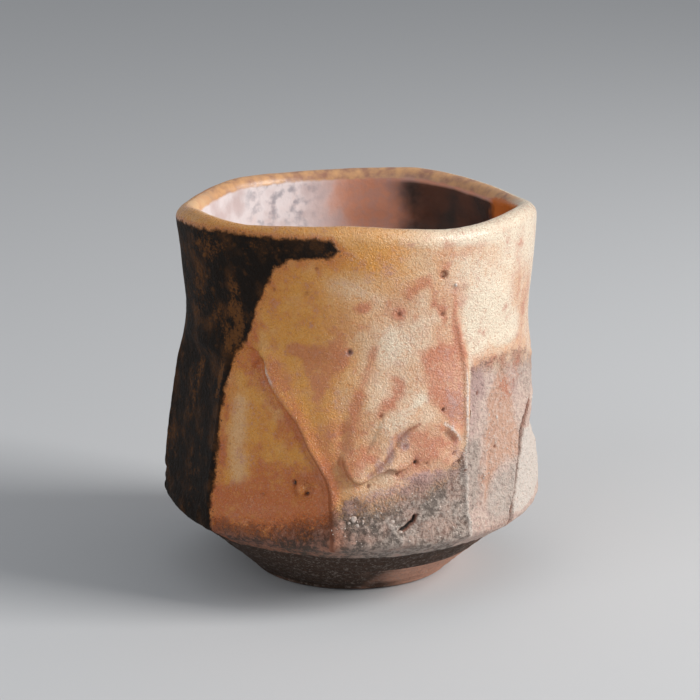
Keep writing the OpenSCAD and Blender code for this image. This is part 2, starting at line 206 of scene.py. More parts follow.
RUST = [
    (-16.6, 29.4, 1.4, 2.2, 0.9), (-13.4, 31.6, 0.8, 1.4, 0.8), (-27, 24, 12, 3.4, 0.7),
    (-36, 60.5, 2.4, 3, 0.5), (-38, 54.5, 3, 2, 0.4),
    (-22, 68, 5, 5, 0.25), (-7, 30, 1.3, 6, 0.7), (-6, 20.6, 1, 3, 0.6), (-43.4, 36, 1.1, 11, 0.6),
    (-24.5, 32, 2.4, 2.2, 0.6), (8, 30.4, 4, 0.8, 0.35), (-27, 47, 3, 4, 0.25), (-3.4, 43, 1, 2, 0.5),
    (-34, 50.5, 2, 2, 0.5), (-29, 44, 1.8, 3, 0.4), (-23.5, 41, 1.6, 3.4, 0.6), (-34, 36.4, 3, 1.4, 0.5),
    (-30, 38.6, 1.4, 2.6, 0.35), (-37, 53, 2, 4, 0.4), (-33, 63, 2, 3, 0.35), (-27, 60, 2, 2, 0.3),
    (106, 58, 7, 9, 0.4), (170, 60, 10, 8, 0.45), (212, 70, 8, 6, 0.4), (57, 19, 2, 2.6, 0.5),
]
# Painted shade on the knob's lower left, in the dip beside the fold and in the dent on the right
PAINTED_SHADE_SPOTS = [(-16.9, 28.6, 1, 1.5, 0.26), (-3.6, 42.8, 1, 2.2, 0.14), (89, 31, 8, 1.4, 0.1)]
# Where the fire left the scorched side rusty
EMBER = [
    (-42.4, 66, 2.4, 3.2, 0.8), (-41, 62.4, 1.6, 2.2, 0.75), (-45.4, 58.8, 2.4, 3, 0.8),
    (-42.6, 60, 2, 2, 0.65), (-48.4, 49.4, 1.5, 4.6, 0.75), (-41.4, 71, 2.2, 2.2, 0.5),
    (-50, 63, 3, 5, 0.4), (-53, 79, 6, 3.4, 0.55), (-62, 68, 5, 8, 0.35), (-70, 44, 4, 9, 0.35),
    (-66, 49, 2, 4, 0.4), (-60, 26, 6, 6, 0.25), (-8, 79.6, 2.4, 1.6, 0.45), (-30, 80.6, 6, 1.4, 0.3),
    (-96, 70, 9, 8, 0.45), (-110, 48, 8, 10, 0.5), (-124, 66, 5, 7, 0.6), (-88, 30, 7, 7, 0.3),
]

# Areas with an outline of their own: corners as bearing and height

# Blushed patches of the middle
BLUSH_AREAS = [
    [
        (-21.2, 59.6), (-16.5, 60.3), (-10, 60.8), (-5.9, 62.9), (-1.8, 59.8), (-2.7, 56),
        (-6.8, 54.3), (-9.4, 50.5), (-10.8, 46.7), (-13.4, 48.3), (-15.6, 52.7), (-18.8, 56.8),
    ],
    [
        (18.6, 58.8), (25.9, 59.8), (35.6, 59), (35.4, 52.2), (34.5, 45), (30, 44), (24, 47.4),
        (22, 52.2), (20.4, 56),
    ],
    [
        (11, 53.6), (15, 53.4), (16, 49.6), (13.8, 48), (9.8, 46), (5.4, 44.2), (6.4, 48),
        (10.4, 49.8),
    ],
    [(-30, 57), (-25, 53.8), (-23, 49.4), (-26.9, 52.3)],
]
# The rusty foot of the scoop
RUST_AREA = [
    (-46, 27), (-41, 27.4), (-37.6, 28.2), (-35, 31), (-31, 34.8), (-27, 33), (-22.6, 31.6),
    (-18, 34.6), (-12.6, 33.6), (-9, 37), (-6, 38), (-3.6, 30), (-5, 16), (-46, 14),
]
# The pale patch between the arms of the blushed V
PALE_AREA = [
    (5.4, 43.4), (9.9, 40.6), (14.5, 42.6), (19.3, 46.4), (23.6, 48.4), (21.2, 49.6),
    (16.2, 47.6), (11.5, 46.2),
]
# The orange strip beside the second ridge
ORANGE_STRIP = [
    (54.4, 52.6), (58.6, 50.8), (62, 45), (64, 38), (63, 33.4), (59, 30.8), (51.6, 30), (47.4, 27.2),
    (43.6, 22), (43.8, 28.2), (45.6, 36.8), (48.4, 45.2),
]
# Thin, smooth ash on the two facets right of the thin ridge
THIN_ASH = [
    (34, 62), (72, 62), (104, 56), (128, 38), (130, 12), (54, 12), (36.4, 12), (36, 30), (34.6, 44),
]
# Its grey part beside the ridge
GREY_BAND = [(36.6, 38.4), (43.6, 37.6), (43.2, 31), (41.4, 24), (37, 22), (36.4, 30)]
# The scorched side, from its tip under the lip to the hip
SCORCH = [
    (-46.5, 10), (-45.5, 30), (-45, 46), (-43.5, 56), (-38, 60.1), (-36, 63.2), (-33, 67.8),
    (-31, 70.2), (-28, 73.6), (-25, 76.6), (-20, 78.6), (-12, 79.2), (-7, 79.4), (-5, 81),
    (-7.5, 83), (-18, 83), (-28, 82.8), (-39, 82.9), (-60, 82.2), (-90, 80.5), (-118, 81),
    (-131, 74), (-126, 60), (-134, 47), (-129, 30), (-136, 10),
]
# The white facet beyond the crack
WHITE_FACET = [
    (66, 36.2), (72, 35), (80, 34), (90, 33), (100, 34), (112, 31), (121, 26), (118, 21.6),
    (104, 20.4), (88, 20.4), (74, 18.8), (62, 18), (56.6, 18.6), (57.4, 20.8), (59.2, 24),
    (61.2, 28), (63, 32),
]
# Lighter grey, coarse ash between the orange strip and the crack, and above the strip
COARSE_ASH = [
    (44.2, 22), (46.4, 26.7), (51.6, 29.4), (60, 30.2), (64, 31.7), (61.6, 25.6), (58, 20), (56, 17),
    (47.3, 16),
]
UPPER_ASH = [(61, 53.4), (72.8, 52.5), (90, 48.9), (88, 42), (73, 41.1), (66, 47)]

# Pale feldspar lumps: bearing, height and radius in millimetres
FELDSPAR = [
    (-33.2, 56.9, 0.42), (-31.2, 55.6, 0.36), (-28.6, 53.8, 0.4), (-26.2, 51.6, 0.32),
    (-23.4, 49.2, 0.45), (-24.6, 50.2, 0.28),
    (32, 72.4, 0.62), (36.4, 72.1, 0.5), (36, 52, 0.4), (35, 49.6, 0.3), (-48, 48.8, 0.55),
    (0.4, 23.4, 0.6), (1.6, 21.9, 0.5), (-0.8, 22.6, 0.4), (12, 22.4, 0.5), (14.4, 19.8, 0.55),
    (46.6, 34.2, 0.4), (49, 41.6, 0.4), (53, 40.5, 0.45), (44.8, 43.6, 0.35), (21, 35.9, 0.4),
]

# Ridges and creases: line, rise and half width in millimetres, and how fast
# each is full at its start and its end, with 0 where it doesn't run out
RIDGES = [
    (SLIP_CREASE, -0.75, 0.8, 8, 4),
    (THIN_RIDGE, 0.6, 0.55, 3, 0),
    (ORANGE_RIDGE, 0.45, 0.7, 5, 5),
    (NICK_RIDGE, 0.35, 0.7, 0, 0),
    (NICK_GOUGE, -1.2, 0.5, 0, 0),
]


# Smooth forms, on arrays


def clamp(x):
    return np.clip(x, 0, 1)


def mix(a, b, u):
    return a + (b - a) * u


def ease(u):
    v = clamp(u)
    return v * v * (3 - 2 * v)


def bell(x):
    return np.exp(-(x**2))


def faded(along, start, stop=0):
    """A line's strength at a share of its run, with its ends run out."""
    strength = ease(along * start) if start else 1
    return strength * ease((1 - along) * stop) if stop else strength


def stretch(x, first, rise, last, fall):
    """1 from first to last, eased in over the rise and out over the fall."""
    return ease((x - first) / rise) * ease((last - x) / fall)


def upright(b, r, h):
    """Places round the cup's upright axis."""
    turn = np.radians(b)
    return np.stack([r * np.sin(turn), -r * np.cos(turn), h], axis=1)


def curve(rows, x, column):
    """A smooth curve through the rows of a table."""
    rows = np.array(rows, float)
    at, value = rows[:, 0], rows[:, column]
    before = np.maximum(np.arange(len(at)) - 1, 0)
    after = np.minimum(np.arange(len(at)) + 1, len(at) - 1)
    slope = (value[after] - value[before]) / (at[after] - at[before])
    i = np.clip(np.searchsorted(at, x, side="right") - 1, 0, len(at) - 2)
    width = at[i + 1] - at[i]
    u = clamp((x - at[i]) / width)
    v = 1 - u
    left = v * v * (value[i] * (1 + 2 * u) + slope[i] * width * u)
    return left + u * u * (value[i + 1] * (1 + 2 * v) - slope[i + 1] * width * v)


def wave(rows, bearing):
    """A closed wave round the cup, eased from each bearing of a table to the next."""
    rows = np.array([*rows, (rows[0][0] + 360, rows[0][1])], float)
    b = rows[0, 0] + (bearing - rows[0, 0]) % 360
    i = np.clip(np.searchsorted(rows[:, 0], b, side="right") - 1, 0, len(rows) - 2)
    u = (b - rows[i, 0]) / (rows[i + 1, 0] - rows[i, 0])
    return mix(rows[i, 1], rows[i + 1, 1], ease(u))


def front_bearing(b):
    """A bearing from -180 to 180, so that the front's tables are in one stretch."""
    return (b + 180) % 360 - 180


def apart(b, h, at_b, at_h, half_w, half_h):
    """Squared distance from a place on the skin, in half widths and half heights."""
    across = front_bearing(b - at_b) * ROLL / half_w
    return across**2 + ((h - at_h) / half_h) ** 2


def beside_line(points, b, h):
    """Distance to a line on the skin, its side (1 on the left of its run), and the share run."""
    x = front_bearing(b) * ROLL
    px = [p[0] * ROLL for p in points]
    pz = [p[1] for p in points]
    reach = np.concatenate([[0], np.cumsum(np.hypot(np.diff(px), np.diff(pz)))])
    nearest = np.full(np.shape(x), np.inf)
    side = np.ones(np.shape(x))
    along = np.zeros(np.shape(x))
    for i in range(len(points) - 1):
        dx, dz = px[i + 1] - px[i], pz[i + 1] - pz[i]
        u = clamp(((x - px[i]) * dx + (h - pz[i]) * dz) / (dx * dx + dz * dz))
        ex, ez = x - px[i] - u * dx, h - pz[i] - u * dz
        gap = np.hypot(ex, ez)
        closer = gap < nearest
        nearest = np.where(closer, gap, nearest)
        side = np.where(closer, np.where(dx * ez - dz * ex > 0, 1.0, -1.0), side)
        along = np.where(closer, (reach[i] + u * (reach[i + 1] - reach[i])) / reach[-1], along)
    return nearest, side, along


def within(corners, b, h):
    """Signed distance to the outline of an area on the skin, positive inside."""
    gap = beside_line([*corners, corners[0]], b, h)[0]
    x = front_bearing(b)
    inside = np.zeros(np.shape(x), bool)
    for (b0, h0), (b1, h1) in zip(corners, [*corners[1:], corners[0]]):
        crosses = (h0 > h) != (h1 > h)
        meets = b0 + (h - h0) / ((h1 - h0) or 1) * (b1 - b0)
        inside ^= crosses & (x < meets)
    return np.where(inside, gap, -gap)


def patches(rows, b, h):
    """The joint strength of round patches on the skin, from 0 to 1."""
    bare = np.ones(np.shape(b))
    for *spot, strength in rows:
        near = apart(b, h, *spot)
        bare = bare * (1 - strength * np.exp(-near * near * 0.5 - near * 0.35))
    return 1 - bare


def area(corners, b, h, soft):
    """The strength of an area on the skin, eased across its outline."""
    return ease(0.5 + within(corners, b, h) / soft)


def run(points, b, h, half_w):
    """The strength of a soft line on the skin."""
    return bell(beside_line(points, b, h)[0] / half_w)


def joined(*masks):
    """Masks laid over one another."""
    bare = 1
    for mask in masks:
        bare = bare * (1 - mask)
    return 1 - bare


def lattice(ix, iy, iz, seed):
    """A repeatable number from -1 to 1 at each whole place of a grid."""
    n = (ix.astype(np.int64) * 374761393 + iy.astype(np.int64) * 668265263) & 0xFFFFFFFF
    n = (n + iz.astype(np.int64) * 1274126177 + seed * 974634777) & 0xFFFFFFFF
    n = ((n ^ (n >> 13)) * 1103515245) & 0xFFFFFFFF
    n = ((n ^ (n >> 15)) * 1540483477) & 0xFFFFFFFF
    return (n ^ (n >> 16)) / 2147483647.5 - 1


def unevenness(places, cell, seed):
    """Smooth noise from -1 to 1 in cells of that size, in millimetres."""
    at = places / cell
    low = np.floor(at).astype(np.int64)
    u = ease(at - low)
    total = np.zeros(len(at))
    for corner in range(8):
        step = [corner & 1, corner >> 1 & 1, corner >> 2 & 1]
        weight = np.ones(len(at))
        for axis in range(3):
            weight = weight * (u[:, axis] if step[axis] else 1 - u[:, axis])
        total += weight * lattice(low[:, 0] + step[0], low[:, 1] + step[1], low[:, 2] + step[2], seed)
    return total


# What a user can change


def length(name, millimetres, description):
    """A size of the cup, kept in metres."""
    return bpy.props.FloatProperty(
        name=name,
        description=description,
        default=millimetres * MM,
        min=0,
        precision=5,
        subtype="DISTANCE",
        unit="LENGTH",
    )


def paint(name, red, green, blue, description):
    """A finish's colour, given as it looks on a screen, from 0 to 255."""
    channels = [c / 255 for c in (red, green, blue)]
    linear = [c / 12.92 if c < 0.04045 else ((c + 0.055) / 1.055) ** 2.4 for c in channels]
    return bpy.props.FloatVectorProperty(
        name=name, description=description, default=linear, min=0, max=1, size=3, subtype="COLOR"
    )


def amount(name, value, description, high=10.0):
    return bpy.props.FloatProperty(
        name=name, description=description, default=value, min=0, max=high, subtype="FACTOR", unit="NONE"
    )


class CupSizes(bpy.types.PropertyGroup):
    """Sizes of the cup's form"""

    cup_h: length("Height", 83.8, "Height of the lip over its waves")
    rim_wave: length("Lip wave", 1.4, "Rise and dip of the lip about its mean")
    lean_w: length("Lean", 1.4, "Sideways lean of the waist")
    hip_w: length("Hip width", 85.4, "Width across the sharp turn above the foot")
    hip_h: length("Hip height", 17.6, "Height of the sharp turn above the foot")
    belly_w: length("Belly width", 82.4, "Width across the belly")
    belly_h: length("Belly height", 34, "Height of the belly")
    shoulder_w: length("Shoulder width", 79.8, "Width at the shoulder")
    shoulder_h: length("Shoulder height", 46.5, "Height of the shoulder")
    waist_w: length("Waist width", 75.8, "Width of the narrowest part")
    waist_h: length("Waist height", 58.5, "Height of the narrowest part")
    rim_w: length("Lip width", 79.6, "Width just below the lip")
    wall_t: length("Wall", 3.8, "Thickness of the wall at the lip")
    floor_t: length("Floor", 4.4, "Thickness of the floor over the foot's hollow")
    well_h: length("Well height", 27, "Height at which the inside turns to the floor")
    cut_h: length("Facet height", 53.4, "Height of the facets' tops at their seams")
    ledge_h: length("Ledge", 2.2, "Height of the soft ledge over a facet")
    foot_h: length("Foot height", 7, "Height of the foot ring")
    foot_top_w: length("Foot top width", 59, "Width of the foot ring at the body")
    foot_w: length("Foot width", 43, "Width of the foot ring at the table")
    hollow_w: length("Hollow width", 34, "Width of the hollow inside the foot ring")
    foot_edge_r: length("Foot edge", 1, "Radius of the worn edges of the foot ring")
    glaze_t: length("Glaze", 0.5, "Thickness of the glaze")


class CupFinish(bpy.types.PropertyGroup):
    """Colours of the clay, the ash and the glazes"""

    golden: paint("Golden glaze", 220, 150, 54, "The outer glaze on the left and round the lip")
    sand: paint("Sandy glaze", 220, 176, 140, "The outer glaze of the middle")
    cream: paint("Cream glaze", 236, 222, 198, "Where the outer glaze is thick and pale")
    blush: paint("Blush", 192, 116, 84, "Pink-brown patches of the glaze")
    rust: paint("Rust", 188, 92, 34, "Orange glaze beside the scorch and in the scoop")
    mauve: paint("Mauve", 184, 150, 144, "Thin, greyish pink glaze over the clay")
    char: paint("Char", 28, 18, 10, "The scorched side")
    ember: paint("Ember", 122, 76, 36, "Rusty patches of the scorched side")
    ash_dark: paint("Dark ash", 72, 62, 56, "Dark grains of the ash")
    ash_pale: paint("Pale ash", 186, 172, 162, "Pale grains of the ash")
    stone: paint("Thin ash", 222, 197, 183, "Thin, smooth ash on the right")
    white: paint("White clay", 224, 211, 200, "The white facet and the feldspar")
    clay: paint("Clay", 56, 38, 26, "The bare underside")
    toast: paint("Toasted clay", 190, 142, 120, "The flashed side of the foot")
    # Lilac glaze, partly painted light where the lit inside is brightest on the left
    lit_lilac: paint("Lilac glaze", 236, 226, 226, "The inner glaze on the left")
    peach: paint("Peach glaze", 214, 150, 122, "The inner glaze at the back")
    # Umber glaze, partly painted shade of the inside wall turned from the lamp
    shaded_umber: paint("Umber glaze", 74, 36, 12, "The inner glaze on the right")


class CupStage(bpy.types.PropertyGroup):
    """The floor, lamps and camera"""

    key_light: amount("Key light", 1, "Strength of the large soft lamp on the right")
    fill_light: amount("Fill light", 1, "Strength of the weak lamp on the left")
    room_light: amount("Room light", 0.36, "Strength of the even light of the room")
    tilt: bpy.props.FloatProperty(
        name="Tilt",
        description="Angle at which the camera looks down",
        default=math.radians(14.6),
        subtype="ANGLE",
        unit="ROTATION",
    )
    distance: length("Distance", 518, "Distance from the camera to the cup's axis")
    aim_h: length("Aim", 49.5, "Height that the camera looks at")
    offset: length("Offset", 0.35, "How far the camera stands left of the axis")
    lens: bpy.props.FloatProperty(
        name="Lens", description="Focal length in millimetres", default=117.7, min=1, unit="CAMERA"
    )


# The form of the cup


class CupForm:
    """Radii and heights of the cup's surfaces in millimetres, on arrays of bearings and heights."""

    # How much of each cut remains where it runs out at the hip
    TOE_SHARE = 0.4
    # Exponent of the curve from the wall to the floor, squarer than an ellipse's
    WELL_SHARE = 0.6
    # The deepest facet's sagitta as a share of the radius
    DEEPEST_SHARE = 1 - math.cos(math.radians(24))
    # Millimetres over which a cut starts beside its seam
    SEAM_SOFT = 1.1
    # The seam that the fold runs along
    FOLD_SEAM = 2
    # How far the hip's edge stands out, in millimetres
    HIP_LEDGE = 0.35
    # Bearings where the thinning ash turns lumpy and then smooth, and over how many degrees
    LUMPY_FROM, SMOOTH_FROM, TURN = 4, 36, 8

    def __init__(self, sizes):
        for name in CupSizes.__annotations__:
            setattr(self, name, getattr(sizes, name) / MM)
        self.floor_h = self.foot_h + self.floor_t
        self.seam_h = self.floor_h + self.wall_t * 0.25
        self.hip_round = self.wall_t * 0.35
        self.hip_top = self.hip_h + self.hip_round * 0.8
        self.hip_low = self.hip_h - self.hip_round * 1.1
        self.lip_round = self.wall_t * 0.55
        self.arch_rise = self.ledge_h * 1.6
        self.toe_h = (self.belly_h - self.hip_h) * 0.5
        neck_w = self.waist_w * 0.6 + self.rim_w * 0.4
        self.outline = [
            (self.hip_h, self.hip_w / 2, 0),
            (self.belly_h, self.belly_w / 2, self.lean_w * 0.15),
            (self.shoulder_h, self.shoulder_w / 2, self.lean_w * 0.55),
            (self.waist_h, self.waist_w / 2, self.lean_w),
            ((self.waist_h + self.cup_h) / 2, neck_w / 2, self.lean_w * 0.85),
            (self.cup_h, self.rim_w / 2, self.lean_w * 0.6),
        ]
        heights = np.linspace(self.cut_h, self.hip_h - 1, 13)
        seam = zip(self.seam_at(self.FOLD_SEAM, heights), heights)
        self.fold = [*FOLD_TOP[::-1], *((float(b), float(h)) for b, h in seam)]

    def thrown_r(self, h):
        return curve(self.outline, h, 1)

    def lean(self, h):
        return curve(self.outline, h, 2)

    def seam_at(self, k, h):
        row = np.array(SEAM_BEARINGS[k % FACETS], float)
        up = clamp((h - self.hip_h) / (self.cut_h - self.hip_h)) * 3
        i = np.minimum(2, np.floor(up)).astype(int)
        turned = 360 if k >= FACETS else 0
        return turned + mix(row[i], row[i + 1], ease(up - i) * 0.5 + (up - i) * 0.5)

    def facet_at(self, b, h):
        """The facet's shares, the bearing on its turn of the cup, and its two seams."""
        first = self.seam_at(0, h)
        turned = first + (b - first) % 360
        seams = np.stack([self.seam_at(k, h) for k in range(FACETS + 1)])
        k = np.sum(turned >= seams[1:-1], axis=0)
        left = np.take_along_axis(seams, k[None], 0)[0]
        right = np.take_along_axis(seams, k[None] + 1, 0)[0]
        return np.array(FACET_SHARES)[k].T, turned, left, right

    def crest_h(self, b):
        return self.cup_h + self.rim_wave * wave(RIM_WAVE_SHARES, b)

    def lip_h(self, b):
        return self.crest_h(b) - self.lip_round

    def seam_turn(self):
        """The turn of the well at which it reaches the seam with the floor slab."""
        share = (self.well_h - self.seam_h) / (self.well_h - self.floor_h)
        return math.degrees(math.asin(share ** (1 / self.WELL_SHARE)))

    def clay_r(self, b, h):
        """The clay's radius as thrown and cut, with its seams softened."""
        shares, turned, left, right = self.facet_at(b, h)
        flat, scoop, sink_left, sink_right, run_share, arch_share = shares
        u = (turned - left) / (right - left)
        across = 2 * u - 1
        top = self.cut_h + self.arch_rise * arch_share * (1 - across**4) + self.ledge_h
        share = ease((top - h) / self.ledge_h)
        share = share * mix(self.TOE_SHARE, 1, ease((h - self.hip_h) / self.toe_h))
        run_out = run_share * (top - self.ledge_h - self.hip_h)
        share = share * ease((top - h) / (run_out + self.ledge_h))
        half = np.radians(right - left) / 2
        chord = self.thrown_r(h) * (1 - np.cos(half) / np.cos(half * across))
        off = flat * chord + self.wall_t * scoop * (1 - across**2)
        off = off + self.wall_t * (sink_left * (1 - u) ** 3 + sink_right * u**3)
        soft = ease((turned - left) * ROLL / self.SEAM_SOFT)
        soft = soft * ease((right - turned) * ROLL / self.SEAM_SOFT)
        return self.thrown_r(h) - share * off * soft

    def relief(self, b, h):
        """How far folds, ridges, cracks and pits stand out from the cut clay."""
        # The fold has a crest on its left, and on its right a cliff over a trough
        gap, side, along = beside_line(self.fold, b, h)
        width = mix(1, 0.45, ease(along * 1.5))
        tall, deep = mix(1.25, 0.35, along), mix(1.2, 0.3, along)
        crest = tall * bell(gap / (2.8 * width))
        cliff = tall * ease(1 - gap / (1.6 * width))
        trough = deep * bell((gap - 2.6 * width) / (1.9 * width))
        rise = np.where(side > 0, crest, cliff - trough) * faded(along, 30)
        # The slip ends in a lip with a groove along its foot
        gap, side, along = beside_line(SLIP_LIP, b, h)
        above = ease(0.5 + side * gap / 0.5) * np.exp(-np.maximum(0, gap * side) / 5)
        below = np.where(side < 0, 0.4 * bell((gap - 0.7) / 0.6), 0)
        rise += (1.25 * above - below) * faded(along, 8, 2.2)
        for line, up, half_w, start, stop in RIDGES:
            gap, side, along = beside_line(line, b, h)
            rise += up * bell(gap / half_w) * faded(along, start, stop)
        # The facet steps down beside the second ridge
        gap, side, along = beside_line(ORANGE_RIDGE, b, h)
        rise -= np.where(side > 0, 0.3 * ease(1 - gap / 4), 0) * faded(along, 5)
        # The crack gapes wider towards its foot, between raised edges
        gap, side, along = beside_line(CRACK, b, h)
        rise -= 2.3 * bell(gap / (0.3 + 0.2 * along)) * faded(along, 6, 14)
        rise += 0.35 * bell((gap - 0.9) / 0.6) * faded(along, 4)
        gap, side, along = beside_line(TONGUE, b, h)
        tongue = 0.75 * bell(gap / np.where(side > 0, 1.5, 0.6))
        groove = np.where(side < 0, 0.3 * bell((gap - 1.2) / 0.9), 0)
        rise += (tongue - groove) * faded(along, 3, 3)
        for *spot, up in SWELLS:
            rise += up * np.exp(-apart(b, h, *spot))
        for at_b, at_h, radius, depth in PITS:
            gap = np.sqrt(apart(b, h, at_b, at_h, radius, radius))
            rise += depth * (0.2 * bell((gap - 1.5) / 0.5) - bell(gap))
        return rise

    def place(self, b, r, h, lean_h=None):
        at = upright(b, r, h)
        at[:, 0] += self.lean(h if lean_h is None else lean_h)
        return at

    def ash_depth(self, b, h):
        """Millimetres below the glaze's lower edge, less its raggedness."""
        return wave(GLAZE_EDGE, b) - h

    def skin_r(self, b, h):
        """The clay's radius with its relief, its hand-made unevenness and its grain."""
        r = self.clay_r(b, h) + self.relief(b, h)
        at = self.place(b, r, h)
        depth, front = self.ash_depth(b, h), front_bearing(b)
        gritty = ease((depth + 1.5) / 3) * mix(1, 0.4, ease((front - self.SMOOTH_FROM) / self.TURN))
        scorched = ease(within(SCORCH, b, h) / 2)
        r += 0.28 * unevenness(at, 11, 1) + 0.09 * unevenness(at, 4, 2)
        r += (0.03 + 0.24 * gritty + 0.03 * scorched) * unevenness(at, 1.3, 3)
        # Lumps where the ash thins out over the glaze, right of the fold
        lumpy = ease((depth + 9) / 6) * ease((front - self.LUMPY_FROM) / self.TURN)
        r += 0.2 * lumpy * (1 - gritty) * unevenness(at, 2, 24)
        return r + gritty * (1 - scorched) * (0.2 * unevenness(at, 2.6, 25) + 0.3 * unevenness(at, 0.9, 4))

    def side_place(self, b, h):
        return self.place(b, self.skin_r(b, h), h)

    def hip_place(self, b, u):
        """The turn from the side (0) over the hip's edge to the underside (1)."""
        side_h = b * 0 + self.hip_top
        side_r = self.skin_r(b, side_h)
        upper = self.place(b, side_r, side_h)
        lower = self.under_place(b, b * 0 + self.hip_low)
        ragged = unevenness(upper, 2.3, 5) * 0.16 + unevenness(upper, 0.9, 6) * 0.1
        edge_h = self.hip_h - (self.hip_top - self.hip_h) * 0.5 + ragged
        edge = self.place(b, side_r + self.HIP_LEDGE + ragged, edge_h)
        v, u = (1 - u)[:, None], u[:, None]
        return v * v * upper + 2 * u * v * edge + u * u * lower

    def under_place(self, b, h):
        """The sloping underside between the foot ring and the hip."""
        shares, turned, left, right = self.facet_at(b, b * 0 + self.hip_h)
        half = np.radians(right - left) / 2
        across = half * (2 * (turned - left) / (right - left) - 1)
        cut = mix(1, np.cos(half) / np.cos(across), self.TOE_SHARE * shares[0])
        hip_r = self.hip_w / 2 * cut - self.hip_round * 0.5
        out = clamp((h - self.foot_h) / (self.hip_h - self.hip_round - self.foot_h))
        at = self.place(b, mix(self.foot_top_w / 2, hip_r, out), h)
        hollowed = -0.5 * np.sin(np.pi * out)
        trimmed = 0.1 * np.sin(out * 34 + 0.6 * unevenness(at, 30, 7)) * ease(out * 5)
        grit = 0.14 * unevenness(at, 1.1, 8) + 0.2 * unevenness(at, 5, 9)
        at[:, 2] -= (hollowed + trimmed + grit) * ease(out * 6)
        return at

    def lip_place(self, b, a, coat):
        """The lip at turn a, from 0 outside to 180 inside, with a coat over it."""
        h = self.lip_h(b)
        turn = np.radians(a)
        half_t = self.wall_t / 2
        at = self.place(b, self.skin_r(b, h) - half_t + (half_t + coat) * np.cos(turn), h)
        at[:, 2] = h + (self.lip_round + coat) * np.sin(turn)
        worn = unevenness(at, 7, 10) * 0.16 + unevenness(at, 2.2, 11) * 0.05
        at[:, 2] += worn * np.sin(turn)
        return at

    def barrel_r(self, h):
        deep = ease((self.waist_h - h) / (self.waist_h - self.belly_h))
        return self.thrown_r(h) * (1 - self.DEEPEST_SHARE * deep) - self.wall_t

    def inner_place(self, b, u, coat):
        """The inside from the lip (0) down to the well (1)."""
        lip_h = self.lip_h(b)
        h = mix(lip_h, self.well_h, u)
        r = mix(self.skin_r(b, lip_h) - self.wall_t, self.barrel_r(h), ease(u * 3)) - coat
        at = self.place(b, r, h)
        rings = 0.14 * np.sin(h * 0.75 + 1.4 * unevenness(at, 40, 12)) + 0.25 * unevenness(at, 13, 13)
        return self.place(b, r - rings * ease(u * 4) * ease((1 - u) * 6), h)

    def well_place(self, b, a, coat):
        """The curve of the well, from the wall (0) to the floor's middle (90)."""
        turn = np.radians(a)
        h = mix(self.well_h, self.floor_h + coat, np.sin(turn) ** self.WELL_SHARE)
        r = (self.barrel_r(np.float64(self.well_h)) - coat) * np.cos(turn) ** self.WELL_SHARE
        at = self.place(b, r, h, lean_h=b * 0 + self.well_h)
        spiral = 0.12 * np.sin(r * 0.9 + np.radians(b)) * ease(r / 6) * ease((30 - r) / 6)
        at[:, 2] += np.maximum(0, spiral)
        return at


# Pieces rolled from a grid

# Degrees by which stations are pulled towards the front, at most
FRONT_PULL = 17
# Metres within which the grid's borders are welded
WELD = 1e-6
# The back of a coat at the lip and inside the cup, in millimetres over the clay
COAT_BACK = -0.05
# How far the row beside a pole has turned to it
POLE_SHARE = 0.9


def linked(bm, name):
    """Makes a finished bmesh an object of the scene."""
    mesh = bpy.data.meshes.new(name)
    bm.to_mesh(mesh)
    bm.free()
    made = bpy.data.objects.new(name, mesh)
    bpy.context.scene.collection.objects.link(made)
    return made


def steps(kind, first, last, count, end=False):
    """Rows of one kind, with values spread from first to last."""
    return [(kind, mix(first, last, i / count)) for i in range(count + end)]


def first_row(plan, kind):
    return [step for step, _ in plan].index(kind)


def coated(surface, coat):
    """A surface of the form, with a coat of that thickness on it."""
    return lambda b, value: surface(b, value, coat)


def rolled_piece(form, name, plan, turns, places, sharp_rows=()):
    """Rolls a grid into a closed piece, with one row for each step of the plan.

    A plan's step is a kind and a value, and places has a function for each kind that says
    where bearings and values lie on the cup. A plan that starts at a pole ends at one, and
    any other closes on itself. Returns the piece, its vertices' bearings and their places.
    """
    closed = "pole" not in plan[0][0]
    rows = len(plan) if closed else len(plan) - 1
    bm = bmesh.new()
    bmesh.ops.create_grid(bm, x_segments=turns, y_segments=rows, size=1)
    grid = np.array([v.co for v in bm.verts])
    row = np.rint((grid[:, 1] + 1) / 2 * rows).astype(int)
    # Stations stand closer together at the front
    b = grid[:, 0] * 180 - FRONT_PULL * np.sin(np.pi * grid[:, 0])
    kinds = np.array([kind for kind, _ in plan])[row % len(plan)]
    values = np.array([value for _, value in plan], float)[row % len(plan)]
    at = np.zeros((len(grid), 3))
    for kind in sorted(set(kinds)):
        chosen = kinds == kind
        at[chosen] = places[kind](b[chosen], values[chosen])
    for vertex, spot in zip(bm.verts, at * MM):
        vertex.co = spot
    for edge in bm.edges:
        first, second = row[edge.verts[0].index], row[edge.verts[1].index]
        edge.smooth = not (first == second and first in sharp_rows)
    for face in bm.faces:
        face.smooth = True
    if bm.calc_volume(signed=True) < 0:
        bmesh.ops.reverse_faces(bm, faces=bm.faces)
    border = [v for v in bm.verts if v.is_boundary]
    bmesh.ops.remove_doubles(bm, verts=border, dist=WELD)
    piece = linked(bm, name)
    at = np.array([v.co for v in piece.data.vertices]) / MM
    return piece, np.degrees(np.arctan2(at[:, 0] - form.lean(at[:, 2]), -at[:, 1])), at


# Masks, kept on the vertices


def add_masks(piece, masks):
    for name, values in masks.items():
        attribute = piece.data.attributes.new(name, "FLOAT", "POINT")
        attribute.data.foreach_set("value", np.asarray(values, np.float32))


PATCHES = {"blush": BLUSH, "cream": CREAM, "mauve": MAUVE, "rust": RUST, "ember": EMBER}
